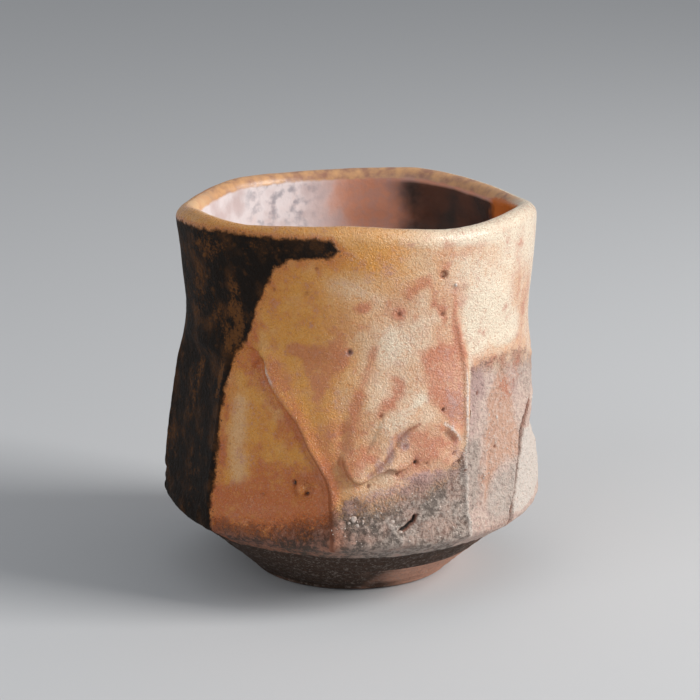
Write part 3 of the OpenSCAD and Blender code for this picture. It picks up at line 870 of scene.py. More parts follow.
# The lines and areas of each mask: strength, shape, its places and softness in millimetres
LAYERS = {
    "blush": [
        (0.75, run, BLUSH_STEM, 1.7),
        (0.6, run, BLUSH_STREAK, 1),
        (0.75, run, FOLD_FLUSH, 2.4),
        *((0.86, area, corners, 3) for corners in BLUSH_AREAS),
    ],
    "cream": [
        (0.25, run, FOLD_RUN, 2.2),
        (0.45, run, ORANGE_RIDGE, 0.6),
        (0.4, run, PALE_RUN, 2.6),
        # A painted highlight down the scoop's left side
        (0.85, run, SCOOP_HIGHLIGHT, 2.4),
        (0.5, area, PALE_AREA, 2.4),
    ],
    # FOLD_SHADE lays painted shade in rust under the upper fold, partly the glaze's own rust
    "rust": [(0.8, run, FOLD_SHADE, 2.6), (0.5, run, RUST_DRIP, 1)],
    "thin": [(1, area, THIN_ASH, 1.4)],
    "grey": [(0.9, area, GREY_BAND, 4), (0.7, area, COARSE_ASH, 5), (0.5, area, UPPER_ASH, 6)],
    "orange": [(1, area, ORANGE_STRIP, 4)],
    "pale": [(0.95, area, WHITE_FACET, 1), (0.4, area, COARSE_ASH, 4), (0.45, run, NICK_RIDGE, 0.7)],
}
# Lines of painted shade in the crack, the gouge and under the slip's lip: strength, half width in
# millimetres and points
PAINTED_SHADE_LINES = [(1, 0.5, CRACK), (1, 0.5, NICK_GOUGE), (0.25, 0.4, SLIP_LIP)]


def layered(name, b, h, *more):
    """A mask's patches, lines and areas, with any others laid over them."""
    rows = LAYERS.get(name, ())
    layers = [strength * shape(points, b, h, soft) for strength, shape, points, soft in rows]
    return joined(patches(PATCHES.get(name, ()), b, h), *layers, *more)


def painted_shade_places(form, b, h):
    """Painted shade in pits, cracks and creases, and under the fold."""
    painted_shade = np.zeros(np.shape(b))
    # Painted shade in the pits, darker the deeper they are
    for at_b, at_h, radius, depth in PITS:
        gap = np.sqrt(apart(b, h, at_b, at_h, radius, radius))
        painted_shade = np.maximum(painted_shade, min(1, depth * 1.5) * bell(gap / 0.9))
    for strength, half_w, line in PAINTED_SHADE_LINES:
        gap, side, along = beside_line(line, b, h)
        painted_shade = np.maximum(painted_shade, strength * bell(gap / half_w) * faded(along, 6))
    # Painted shade along the fold on the scoop's side: a narrow line low down and a broad one higher up
    gap, side, along = beside_line(form.fold, b, h)
    low_line = 0.5 * bell((gap - 0.5) / 0.45) * ease(along * 4 - 1.4)
    upper_line = 0.3 * bell((gap - 0.8) / 0.9) * faded(along, 20) * ease(2.6 - along * 4)
    painted_shade = joined(painted_shade, low_line * (side < 0), upper_line * (side < 0))
    painted_shade = np.maximum(painted_shade, 0.3 * run(SLIP_CREASE, b, h, 0.6))
    # Painted shade on the knob, in the dip beside the fold and in the dent on the right
    return np.maximum(painted_shade, patches(PAINTED_SHADE_SPOTS, b, h))


def warmth(front, h):
    """The golden left of the cup, and its lip."""
    warm = ease((16 - front) / 34)
    lip = 0.95 * ease((h - 66) / 12) * ease((36 - front) / 32)
    return np.maximum(warm, lip) * ease((front + 175) / 60)


def scorching(b, h):
    """The scorch, which fades out at the back and leaves no rust on the lip."""
    scorch = within(SCORCH, b, h) / mix(10, 34, ease((-98 - front_bearing(b)) / 20))
    clear = ease((h - 80) / 2) * ease(-scorch * 7 - 0.4)
    return scorch - 0.5 * clear


def skin_masks(form, piece, b, h):
    """Where the fire, the ash and the glaze coloured the skin."""
    front = front_bearing(b)
    # The fold: crest is a painted highlight along its upper edge, and shade is painted shade down its
    # cliff on the scoop's side
    gap, side, along = beside_line(form.fold, b, h)
    crest = bell((gap - 0.3) / 0.4) * (side > 0) * ease(1 - along * 2)
    shade = ease(1.25 - gap / (2.6 * mix(1, 0.45, ease(along * 1.5)))) * (side < 0)
    fold_low = bell(gap / 2.2) * ease(along * 4 - 1.2)
    # Painted highlight on the tongue's upper right, and painted shade under its lower left
    gap, side, _ = beside_line(TONGUE, b, h)
    tongue_shade = bell((gap - 0.9) / 0.7) * (side < 0)
    tongue_highlight = bell((gap - 0.2) / 0.6) * (side > 0) * ease((b - 25) / 3)
    lip = ease((4.4 - form.crest_h(b) + h) / 3.4) * mix(0.35, 0.8, ease((front + 30) / 70))
    scoop_low = stretch(front, -52, 6, -5, 3)
    rusty_foot = area(RUST_AREA, b, h, 4) * mix(0.75, 1, ease((30 - h) / 8))
    ridge_foot = run(THIN_RIDGE, b, h, 0.4) * ease((56 - h) / 4)
    strip = layered("orange", b, h)
    masks = {
        "scorch": np.clip(scorching(b, h), -1, 1),
        "ash": np.clip((form.ash_depth(b, h) - 1.6 * scoop_low) / 10, -1, 1),
        "thin": layered("thin", b, h),
        "grey": layered("grey", b, h),
        "blush": layered("blush", b, h, 0.6 * fold_low),
        "cream": layered("cream", b, h, lip),
        "mauve": layered("mauve", b, h) * (1 - strip),
        # Rust, with painted shade in rust down the fold's cliff and under the tongue
        "rust": layered("rust", b, h, 0.855 * shade, 0.5 * tongue_shade, rusty_foot),
        "orange": strip,
        # Pale clay, ash and ridges, with painted highlights along the fold's crest and on the tongue
        "pale": layered(
            "pale", b, h, 0.75 * ridge_foot, 0.7 * tongue_highlight, 0.75 * crest * faded(along, 12)
        ),
        # Painted shade in pits, cracks, creases and under the fold
        "painted_shade": painted_shade_places(form, b, h),
        "warm": warmth(front, h),
        "ember": layered("ember", b, h),
    }
    add_masks(piece, masks)


# Materials

BLACK = (0, 0, 0, 1)
# Linear colours: soot in the clay's pores, and the grey of spots in the inner glaze
SOOT = (0.01, 0.007, 0.005, 1)
SPOT_GREY = (0.27, 0.26, 0.3, 1)


def solid(colour):
    return (*colour, 1)


class Nodes:
    """Places nodes in one tree and links them, for a material or a group."""

    def __init__(self, tree):
        self.tree = tree

    def put(self, kind, inputs=(), **settings):
        """Adds a node, sets what is named, and fills its inputs by name or number."""
        node = self.tree.nodes.new(kind)
        for name, value in settings.items():
            setattr(node, name, value)
        self.fill(node.inputs, inputs)
        return node

    def fill(self, sockets, values):
        """Links or sets sockets, by name or number."""
        for key, value in dict(values).items():
            if isinstance(value, bpy.types.NodeSocket):
                self.tree.links.new(value, sockets[key])
            else:
                sockets[key].default_value = value

    def sum(self, operation, a, b=0, c=0):
        return self.put("ShaderNodeMath", {0: a, 1: b, 2: c}, operation=operation).outputs[0]

    def times(self, a, b):
        return self.sum("MULTIPLY", a, b)

    def added(self, a, share, to):
        """A share of one value, added to another."""
        return self.sum("MULTIPLY_ADD", a, share, to)

    def centred(self, noise):
        return self.sum("SUBTRACT", noise, 0.5)

    def remaining(self, share):
        """What a share leaves of the whole."""
        return self.sum("SUBTRACT", 1, share)

    def blend(self, factor, a, b):
        """Colour b over colour a by a factor."""
        return self.put("ShaderNodeMix", {"Factor": factor, 6: a, 7: b}, data_type="RGBA").outputs[2]

    def laid(self, colour, *layers):
        """Lays colours over one another, each by a mask and a share of it."""
        for mask, share, over in layers:
            colour = self.blend(mask if share == 1 else self.times(mask, share), colour, over)
        return colour

    def ramp(self, value, low, high, to_low=0, to_high=1, kind="SMOOTHSTEP"):
        """The value eased from one range to another."""
        inputs = {0: value, 1: low, 2: high, 3: to_low, 4: to_high}
        return self.put("ShaderNodeMapRange", inputs, interpolation_type=kind).outputs[0]

    def noise(self, place, cell, detail=2, rough=0.5):
        """Noise with grains of that size in millimetres."""
        inputs = {"Vector": place, "Scale": 1 / cell, "Detail": detail, "Roughness": rough}
        return self.put("ShaderNodeTexNoise", inputs).outputs[0]

    def mask(self, name):
        node = self.put("ShaderNodeAttribute", attribute_type="GEOMETRY", attribute_name=name)
        return node.outputs["Fac"]

    def millimetres(self):
        """Object coordinates in millimetres."""
        inputs = {0: self.put("ShaderNodeTexCoord").outputs["Object"], "Scale": 1 / MM}
        return self.put("ShaderNodeVectorMath", inputs, operation="SCALE").outputs[0]


def new_group(name, inputs, outputs):
    """A shader node group with named sockets: its nodes, its inputs and its output node."""
    tree = bpy.data.node_groups.new(name, "ShaderNodeTree")
    for in_out, sockets in (("INPUT", inputs), ("OUTPUT", outputs)):
        for socket, kind in sockets.items():
            tree.interface.new_socket(socket, in_out=in_out, socket_type="NodeSocket" + kind)
    nodes = Nodes(tree)
    entry = nodes.put("NodeGroupInput").outputs
    return nodes, entry, nodes.put("NodeGroupOutput").inputs


SKIN_MASKS = (
    "scorch", "ash", "thin", "grey", "blush", "cream", "mauve", "rust", "orange", "pale", "painted_shade",
    "warm", "ember",
)
SKIN_COLOURS = (
    "golden", "sand", "cream", "blush", "rust", "mauve", "char", "ember", "ash_dark", "ash_pale",
    "stone", "white",
)
SKIN_RESULTS = {
    "Colour": "Color", "Roughness": "Float", "Gloss": "Float", "Coat": "Float", "Height": "Float",
}


def fired_skin():
    """The colour, roughness and fine height of the fired outside, from its masks."""
    if "Fired skin" in bpy.data.node_groups:
        return bpy.data.node_groups["Fired skin"]
    inputs = {"Place": "Vector"}
    inputs.update({name + " mask": "Float" for name in SKIN_MASKS})
    inputs.update({name + " colour": "Color" for name in SKIN_COLOURS})
    n, entry, out = new_group("Fired skin", inputs, SKIN_RESULTS)
    at = entry["Place"]
    m = {name: entry[name + " mask"] for name in SKIN_MASKS}
    c = {name: entry[name + " colour"] for name in SKIN_COLOURS}
    broad = n.noise(at, 6, 3)
    mid = n.noise(at, 2.2, 3)
    fine = n.noise(at, 0.8, 3, 0.6)
    grit = n.noise(at, 0.42, 2, 0.6)
    crust = n.noise(at, 1, 4, 0.68)
    wander = n.added(n.centred(broad), 0.8, n.centred(mid))
    frizz = n.added(n.centred(grit), 0.9, n.centred(fine))
    wrinkle = n.ramp(n.sum("ABSOLUTE", n.centred(n.noise(at, 0.75))), 0.09, 0)

    def ragged(name, mid_share, fine_share, low, high):
        """A mask with its edge broken by the two noises."""
        edge = n.added(frizz, fine_share, n.added(wander, mid_share, m[name]))
        return n.ramp(edge, low, high)

    # The glaze, from its thick pale runs to its thin dark skin
    deep = n.blend(m["warm"], c["blush"], n.blend(0.4, c["rust"], c["golden"]))
    light = n.blend(n.times(m["warm"], 0.72), c["cream"], c["golden"])
    colour = n.laid(
        n.blend(m["warm"], c["sand"], c["golden"]),
        (n.ramp(broad, 0.45, 0.7), 0.25, deep),
        (n.ramp(mid, 0.5, 0.66), 0.4, deep),
        (n.ramp(broad, 0.52, 0.3), 0.4, light),
        (ragged("cream", 0.6, 0.5, 0.1, 0.9), 0.92, light),
        (ragged("rust", 1.1, 0.8, 0.06, 1), 0.92, c["rust"]),
        (n.ramp(fine, 0.48, 0.3), 0.3, deep),
        (n.ramp(grit, 0.48, 0.3), 0.35, deep),
        (n.ramp(grit, 0.52, 0.7), 0.35, light),
    )

    # The ash, grey and coarse on the left and middle, thin and smooth on the right
    ashy = ragged("ash", 0.5, 0.6, -0.22, 0.34)
    soot = n.ramp(n.added(m["ash"], 0.08, n.added(wander, 0.5, crust)), 0.46, 0.66)
    burnt = n.blend(0.5, c["rust"], c["char"])
    coarse = n.laid(
        n.blend(soot, n.blend(0.25, c["ash_dark"], c["ash_pale"]), c["ash_pale"]),
        (n.ramp(broad, 0.46, 0.66), 0.2, c["blush"]),
        (n.ramp(crust, 0.6, 0.72), 0.6, c["white"]),
        (m["warm"], 0.8, n.blend(soot, c["char"], burnt)),
    )
    grey = n.blend(soot, n.blend(0.45, c["ash_dark"], c["ash_pale"]), c["ash_pale"])
    smooth = n.laid(
        c["stone"],
        (n.ramp(crust, 0.56, 0.38), 0.55, c["mauve"]),
        (n.ramp(crust, 0.58, 0.72), 0.4, c["white"]),
        (ragged("grey", 1, 0.7, 0.1, 0.9), 0.8, grey),
    )
    thinned = n.ramp(m["thin"], 0, 1)
    strip = n.times(ragged("orange", 1.2, 0.8, 0.1, 0.95), n.ramp(crust, 0.66, 0.44, 0.3, 1))
    showing = n.remaining(n.times(n.times(ashy, n.remaining(thinned)), 0.45))
    blushed = n.times(ragged("blush", 1, 0.9, 0.1, 0.95), showing)
    dusky = n.times(ragged("mauve", 0.9, 0.8, 0.1, 0.95), showing)
    chalky = n.laid(c["white"], (n.ramp(fine, 0.5, 0.34), 0.6, c["stone"]))
    colour = n.laid(
        colour,
        (ashy, 0.94, n.blend(thinned, coarse, smooth)),
        (strip, 0.8, n.blend(0.38, c["rust"], c["cream"])),
        (blushed, 0.85, n.blend(0.45, c["blush"], deep)),
        (n.times(blushed, n.ramp(crust, 0.54, 0.68)), 0.25, light),
        (dusky, 0.85, c["mauve"]),
        (ragged("pale", 0.4, 0.4, 0.15, 0.85), 1, chalky),
    )

    # The scorch, with its rusty halo, its spatter and its embers
    halo = n.ramp(n.added(wander, 0.3, m["scorch"]), -0.4, 0.02)
    broken = n.added(wander, 0.2, n.added(n.centred(grit), 0.08, m["scorch"]))
    spatter = n.times(n.ramp(m["scorch"], -0.2, 0), n.ramp(grit, 0.64, 0.7))
    charred = n.sum("MAXIMUM", n.ramp(broken, -0.05, 0.04), n.times(spatter, 0.9))
    char = n.laid(
        c["char"],
        (ragged("ember", 0.8, 1.3, 0.25, 0.85), 0.85, c["ember"]),
        (n.ramp(broad, 0.46, 0.72), 0.35, c["ember"]),
        (n.ramp(mid, 0.54, 0.74), 0.3, c["ember"]),
        (n.ramp(fine, 0.5, 0.3), 0.6, n.blend(0.4, c["char"], BLACK)),
        (n.ramp(grit, 0.62, 0.74), 0.3, c["ash_dark"]),
    )
    colour = n.laid(
        colour,
        (halo, 0.5, c["rust"]),
        (charred, 1, char),
        # Painted shade, burnt brown and then char, in pits, cracks and creases
        (n.ramp(m["painted_shade"], 0.05, 0.4), 0.6, burnt),
        (n.ramp(m["painted_shade"], 0.35, 0.85), 1, c["char"]),
    )

    bare = n.sum("MAXIMUM", n.times(ashy, 0.9), n.times(charred, 0.75))
    rough = n.added(charred, 0.16, n.ramp(bare, 0, 1, 0.3, 0.66, "LINEAR"))
    peel = n.added(grit, 0.24, n.sum("ADD", n.times(fine, 0.16), n.times(wrinkle, 0.07)))
    sand = n.sum("ADD", n.times(crust, 1.7), n.times(grit, 0.2))
    results = {
        "Colour": colour,
        "Roughness": n.added(frizz, 0.35, rough),
        "Gloss": n.ramp(charred, 0, 1, 0.55, 0.2, "LINEAR"),
        "Coat": n.ramp(bare, 0, 0.7, 0.22, 0, "LINEAR"),
        "Height": n.added(n.sum("SUBTRACT", sand, peel), n.times(bare, 0.9), peel),
    }
    n.fill(out, results)
    return n.tree


def new_material(name):
    """A material with an empty tree, its nodes and its shader."""
    material = bpy.data.materials.new(name)
    material.use_nodes = True
    material.node_tree.nodes.clear()
    nodes = Nodes(material.node_tree)
    shader = nodes.put("ShaderNodeBsdfPrincipled")
    nodes.put("ShaderNodeOutputMaterial", {"Surface": shader.outputs[0]})
    return material, nodes, shader.inputs


def bumped(nodes, height):
    """A normal bumped by heights in millimetres."""
    return nodes.put("ShaderNodeBump", {"Height": height, "Strength": 1, "Distance": MM}).outputs[0]


def skin_material(name, finish):
    """Glaze or bare clay of the outside: the fired skin with a gloss of its own."""
    material, n, shader = new_material(name)
    inputs = {"Place": n.millimetres()}
    inputs.update({mask + " mask": n.mask(mask) for mask in SKIN_MASKS})
    inputs.update({colour + " colour": solid(getattr(finish, colour)) for colour in SKIN_COLOURS})
    skin = n.put("ShaderNodeGroup", inputs, node_tree=fired_skin()).outputs
    settings = {
        "Base Color": skin["Colour"],
        "Roughness": skin["Roughness"],
        "Specular IOR Level": skin["Gloss"],
        "Coat Weight": skin["Coat"],
        "Coat Roughness": 0.16,
        "Normal": bumped(n, skin["Height"]),
    }
    n.fill(shader, settings)
    return material


def bare_clay():
    """Coarse unglazed clay: its colour and fine height from three colours and a flash mask."""
    if "Bare clay" in bpy.data.node_groups:
        return bpy.data.node_groups["Bare clay"]
    inputs = {"Place": "Vector", "Flash": "Float", "Clay": "Color", "Toast": "Color", "Grain": "Color"}
    n, entry, out = new_group("Bare clay", inputs, {"Colour": "Color", "Height": "Float"})
    at, flash, clay, toast, grain = (entry[name] for name in inputs)
    broad = n.noise(at, 6, 3)
    fine = n.noise(at, 0.8, 3, 0.65)
    grit = n.noise(at, 0.35, 2, 0.6)
    colour = n.laid(
        clay,
        (n.ramp(n.added(n.centred(broad), 0.8, flash), 0.2, 0.8), 1, toast),
        (n.ramp(fine, 0.5, 0.68), 0.55, n.blend(0.5, clay, grain)),
        (n.ramp(fine, 0.46, 0.3), 0.6, n.blend(0.8, toast, SOOT)),
        (n.ramp(grit, 0.68, 0.76), 1, grain),
    )
    n.fill(out, {"Colour": colour, "Height": n.times(n.sum("ADD", fine, grit), 0.14)})
    return n.tree


def clay_material(name, finish):
    """Bare clay of the underside and the foot."""
    material, n, shader = new_material(name)
    inputs = {
        "Place": n.millimetres(),
        "Flash": n.mask("flash"),
        "Clay": solid(finish.clay),
        "Toast": solid(finish.toast),
        "Grain": solid(finish.ash_pale),
    }
    clay = n.put("ShaderNodeGroup", inputs, node_tree=bare_clay()).outputs
    settings = {
        "Base Color": clay["Colour"],
        "Roughness": 0.88,
        "Specular IOR Level": 0.35,
        "Normal": bumped(n, clay["Height"]),
    }
    n.fill(shader, settings)
    return material


def inner_glaze_material(finish):
    """Glossy glaze that turns from lilac through peach to umber round the inside, with painted light in
    the lilac and painted shade in the umber.
    """
    material, n, shader = new_material("inner_glaze_finish")
    c = {name: solid(getattr(finish, name)) for name in CupFinish.__annotations__}
    at = n.millimetres()
    broad = n.noise(at, 8, 3)
    mid = n.noise(at, 2.4, 3)
    fine = n.noise(at, 0.8)

    def ragged(name, noise, share, low, high):
        """A mask with its edge broken by a noise."""
        return n.ramp(n.added(n.centred(noise), share, n.mask(name)), low, high)

    worn = n.blend(0.5, c["blush"], c["ash_dark"])
    tan = n.blend(n.ramp(mid, 0.25, 0.7), worn, n.blend(0.35, c["golden"], c["ash_pale"]))
    lip = n.laid(
        c["cream"],
        (n.mask("warm"), 0.6, c["golden"]),
        (n.ramp(mid, 0.4, 0.66), 0.4, c["blush"]),
        (n.mask("back"), 0.9, tan),
    )
    # The umber carries painted shade, and the lilac painted light
    shaded_umber = ragged("shaded_umber", broad, 0.7, 0.1, 0.9)
    rim = ragged("rim", mid, 0.8, 0.2, 0.8)
    colour = n.laid(
        c["peach"],
        (n.ramp(mid, 0.4, 0.65), 0.4, c["mauve"]),
        (ragged("lit_lilac", broad, 1.2, 0, 1), 1, c["lit_lilac"]),
        (n.ramp(broad, 0.45, 0.66), 0.5, c["mauve"]),
        (n.times(n.ramp(mid, 0.46, 0.72), n.mask("spots")), 0.7, SPOT_GREY),
        (shaded_umber, 1, n.blend(n.ramp(broad, 0.35, 0.7), c["shaded_umber"], c["char"])),
        (ragged("amber", mid, 0.8, 0.2, 0.8), 1, n.blend(0.8, c["golden"], c["rust"])),
        (rim, 1, lip),
    )
    settings = {
        "Base Color": colour,
        "Specular IOR Level": n.ramp(shaded_umber, 0, 1, 0.5, 0.25, "LINEAR"),
        "Roughness": n.ramp(rim, 0, 1, 0.2, 0.38, "LINEAR"),
        "Normal": bumped(n, n.sum("ADD", n.times(fine, 0.05), n.times(mid, 0.08))),
    }
    n.fill(shader, settings)
    return material


def feldspar_material(finish):
    """Pale lumps of feldspar, stained by the clay round them."""
    material, n, shader = new_material("feldspar_finish")
    at = n.millimetres()
    grit = n.noise(at, 0.25)
    colour = n.laid(
        solid(finish.ash_pale),
        (n.ramp(n.noise(at, 0.9, 3, 0.6), 0.4, 0.62), 1, solid(finish.white)),
        (n.ramp(grit, 0.5, 0.36), 0.4, solid(finish.blush)),
    )
    normal = bumped(n, n.times(grit, 0.08))
    n.fill(shader, {"Base Color": colour, "Roughness": 0.5, "Normal": normal})
    return material


def floor_material():
    """Matt pale paper, with no glare."""
    material, n, shader = new_material("floor_paper")
    colour = solid((0.62, 0.63, 0.645))
    n.fill(shader, {"Base Color": colour, "Roughness": 0.9, "Specular IOR Level": 0})
    return material


def finish_piece(piece, material, slot, *nodes):
    """Gives a piece its material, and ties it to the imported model."""
    piece.data.materials.append(material)
    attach(piece, "root")
    if nodes:
        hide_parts(*nodes)


# Operators


class CUP_OT_wall(bpy.types.Operator):
    """Throw the wall, cut its facets and roughen it with ash"""

    bl_idname = "cup.wall"
    bl_label = "Clay Wall"

    # Millimetres over the facets' tops where the rows start to follow the lip's wave
    NECK_RISE = 3

    def execute(self, context):
        form = CupForm(context.scene.cup_sizes)
        neck_h = form.cut_h + self.NECK_RISE
        plan = [
            *steps("under", form.seam_h, form.hip_low, 12),
            *steps("hip", 1, 0, 7),
            *steps("side", form.hip_top, neck_h, 84),
            *steps("neck", 0, 1, 10),
            *steps("lip", 0, 180, 10),
            *steps("inner", 0, 1, 10),
            *steps("well", 0, form.seam_turn(), 6, end=True),
        ]
        places = {
            "under": form.under_place,
            "hip": form.hip_place,
            "side": form.side_place,
            "neck": lambda b, up: form.side_place(b, mix(neck_h, form.lip_h(b), up)),
            "lip": coated(form.lip_place, 0),
            "inner": coated(form.inner_place, 0),
            "well": coated(form.well_place, 0),
        }
        piece, b, at = rolled_piece(form, "clay_wall", plan, 540, places, (0, len(plan) - 1))
        skin_masks(form, piece, b, at[:, 2])
        material = skin_material("ash_and_clay", context.scene.cup_finish)
        finish_piece(piece, material, "clay", "wall")
        return {"FINISHED"}


class CUP_OT_floor(bpy.types.Operator):
    """Make the floor slab with its trimmed underside"""

    bl_idname = "cup.floor"
    bl_label = "Clay Floor"

    def execute(self, context):
        form = CupForm(context.scene.cup_sizes)
        turn = form.seam_turn()
        plan = [
            ("pole_top", 90),
            *steps("well", mix(turn, 90, POLE_SHARE), turn, 5, end=True),
            *steps("under", form.seam_h, form.foot_h, 14),
            *steps("ceiling", 1, 0.06, 26, end=True),
            ("pole_low", 0),
        ]

        def ceiling(b, out):
            """The slab over the foot ring and its hollow, with a turned spiral."""
            r = form.foot_top_w / 2 * out
            at = upright(b, r, b * 0 + form.foot_h)
            turned = 0.12 * np.sin(r * 2.1 + np.radians(b)) + 0.12 * unevenness(at, 1.2, 15)
            at[:, 2] += turned * ease(r / 3) * ease((form.hollow_w / 2 - r) / 2)
            return at

        places = {
            "pole_top": coated(form.well_place, 0),
            "well": coated(form.well_place, 0),
            "under": form.under_place,
            "ceiling": ceiling,
            "pole_low": ceiling,
        }
        seam = first_row(plan, "under")
        piece, b, _ = rolled_piece(form, "clay_floor", plan, 360, places, (seam, seam - 1))
        add_masks(piece, {"flash": 0.35 * stretch(front_bearing(b), 10, 50, 118, 40)})
        finish_piece(piece, clay_material("trimmed_clay", context.scene.cup_finish), "clay", "base")
        return {"FINISHED"}


class CUP_OT_foot(bpy.types.Operator):
    """Trim the foot ring and wear its edges"""

    bl_idname = "cup.foot"
    bl_label = "Foot Ring"

    def execute(self, context):
        form = CupForm(context.scene.cup_sizes)
        tall, edge = form.foot_h, form.foot_edge_r
        outer, inner = form.foot_w / 2, form.hollow_w / 2
        slope = (form.foot_top_w / 2 - outer) / tall
        quarter = math.pi / 2
        plan = [
            *steps("outer", tall, edge, 22),
            *steps("outer_edge", 0, quarter, 6),
            *steps("face", 0, 1, 10),
            *steps("inner_edge", quarter, 0, 6),
            *steps("inner", edge, tall, 14),
            *steps("top", 0, 1, 6),
        ]
        # Radius and height for each kind of row
        profile = {
            "outer": lambda h: (outer + slope * h, h),
            "outer_edge": lambda a: (outer + edge * ((1 + slope) * np.cos(a) - 1), edge * (1 - np.sin(a))),
            "face": lambda u: (mix(outer - edge, inner + edge, u), u * 0),
            "inner_edge": lambda a: (inner + edge * (1 - np.cos(a)), edge * (1 - np.sin(a))),
            "inner": lambda h: (inner - edge * h / tall, h),
            "top": lambda u: (mix(inner - edge, form.foot_top_w / 2, u), u * 0 + tall),
        }

        def trimmed(kind, b, value):
            """The ring's surface as the tool cut it, with its face pressed on a shelf."""
            r, h = profile[kind](value)
            at = upright(b, r, h)
            free = ease(h / 1.4) * ease((tall - h) / 1.2 + 0.35)
            cut = 0.3 * unevenness(at, 6, 16) + 0.14 * unevenness(at, 1.2, 17)
            cut = cut + 0.1 * np.sin(h * 3.1 + 0.9 * unevenness(at, 20, 18))
            pressed = np.maximum(0, 0.14 * unevenness(at, 3.4, 19) + 0.05) * (kind == "face")
            return upright(b, r + cut * free * (1 if "outer" in kind else 0.6), h + pressed)

        places = {kind: lambda b, value, kind=kind: trimmed(kind, b, value) for kind in profile}
        piece, b, at = rolled_piece(form, "foot_of_cup", plan, 360, places)
        flash = stretch(front_bearing(b), -8, 46, 150, 50) * mix(0.65, 1, ease(at[:, 2] / 4))
        add_masks(piece, {"flash": np.maximum(flash, 0.3 * ease((2.2 - at[:, 2]) / 2))})
        finish_piece(piece, clay_material("foot_clay", context.scene.cup_finish), "clay", "foot_ring")
        return {"FINISHED"}


class CUP_OT_outer_glaze(bpy.types.Operator):
    """Run the outer glaze from the lip down to its ragged lower edge"""

    bl_idname = "cup.outer_glaze"
    bl_label = "Outer Glaze"

    # Millimetres that the glaze reaches below its edge, inside the clay
    TUCK = 3.5
    # Its least height over the hip, in millimetres
    HIP_GAP = 1.4
    # How deep the glaze is where the clay shows, and its back at the lip and
    # below it, deeper than any pit or crack of the skin
    SUNK, LIP_BACK, BACK = -0.3, -0.45, -2.2

    def execute(self, context):
        form = CupForm(context.scene.cup_sizes)
        plan = [
            *steps("coat", 0, 1, 150),
            *steps("lip", 0, 90, 14, end=True),
            *steps("lip_back", 90, 0, 3),
            *steps("back", 1, 0, 12),
        ]

        def height(b, up):
            low = np.maximum(wave(GLAZE_EDGE, b) - self.TUCK, form.hip_h + self.HIP_GAP)
            return mix(low, form.lip_h(b), up)

        def coat(b, up):
            h = height(b, up)
            at = form.place(b, form.clay_r(b, h), h)
            depth = form.ash_depth(b, h) + 0.9 * unevenness(at, 3.2, 20) + 0.5 * unevenness(at, 1.1, 21)
            thick = mix(form.glaze_t, self.SUNK, ease((depth + 2) / 3.4))
            return form.place(b, form.skin_r(b, h) + thick, h)

        def back(b, up):
            h = height(b, up)
            return form.place(b, form.skin_r(b, h) + mix(self.LIP_BACK, self.BACK, ease((1 - up) * 8)), h)

        places = {
            "coat": coat,
            "lip": coated(form.lip_place, form.glaze_t),
            "lip_back": coated(form.lip_place, COAT_BACK),
            "back": back,
        }
        crest = first_row(plan, "lip_back") - 1
        piece, b, at = rolled_piece(form, "outer_coat_of_glaze", plan, 550, places, (crest, 0))
        skin_masks(form, piece, b, at[:, 2])
        material = skin_material("golden_ash_glaze", context.scene.cup_finish)
        finish_piece(piece, material, "outer_coat", "outer_glaze")
        return {"FINISHED"}


class CUP_OT_inner_glaze(bpy.types.Operator):
    """Pour the inner glaze from the lip down to the floor"""

    bl_idname = "cup.inner_glaze"
    bl_label = "Inner Glaze"

    def execute(self, context):
        form = CupForm(context.scene.cup_sizes)
        plan = [
            ("pole_top", 90),
            *steps("well", 88.5, 0, 44),
            *steps("inner", 1, 0, 84),
            *steps("lip", 180, 90, 14, end=True),
            *steps("lip_back", 90, 180, 3),
            *steps("inner_back", 0, 1, 10),
            *steps("well_back", 0, mix(form.seam_turn(), 90, POLE_SHARE), 8, end=True),
            ("pole_low", 90),
        ]
        places = {
            "pole_top": coated(form.well_place, form.glaze_t),
            "well": coated(form.well_place, form.glaze_t),
            "inner": coated(form.inner_place, form.glaze_t),
            "lip": coated(form.lip_place, form.glaze_t),
            "lip_back": coated(form.lip_place, COAT_BACK),
            "inner_back": coated(form.inner_place, COAT_BACK),
            "well_back": coated(form.well_place, COAT_BACK),
            "pole_low": coated(form.well_place, COAT_BACK),
        }
        crest = first_row(plan, "lip_back") - 1
        piece, b, at = rolled_piece(form, "inner_coat_of_glaze", plan, 400, places, (crest,))
        turned = b % 360
        below = form.crest_h(b) - at[:, 2]
        corner = stretch(turned, 50, 15, 125, 15)
        masks = {
            "rim": ease((2.5 - below - 1.1 * corner) / 1.8),
            # Lilac: painted light on the left inside; umber: partly painted shade on the right inside
            "lit_lilac": stretch(turned, 168, 46, 345, 60),
            "shaded_umber": stretch(turned, 98, 12, 176, 28) * ease((below - 1.4) / 1.6),
            "amber": stretch(turned, 60, 20, 124, 14) * ease((18 - below) / 8),
            "spots": stretch(turned, 190, 14, 236, 20) * ease((16 - below) / 6),
            "back": stretch(turned, 88, 22, 262, 24),
            "warm": stretch(front_bearing(b), -150, 50, 34, 60),
        }
        # The floor's colours run straight across it, and not towards its middle
        low = ease((form.well_h + 8 - at[:, 2]) / 14)
        for name, across in (("lit_lilac", -at[:, 0]), ("shaded_umber", at[:, 0] - 6)):
            masks[name] = mix(masks[name], ease(0.5 + across / 36), low)
        add_masks(piece, masks)
        material = inner_glaze_material(context.scene.cup_finish)
        finish_piece(piece, material, "inner_coat", "inner_glaze")
        return {"FINISHED"}


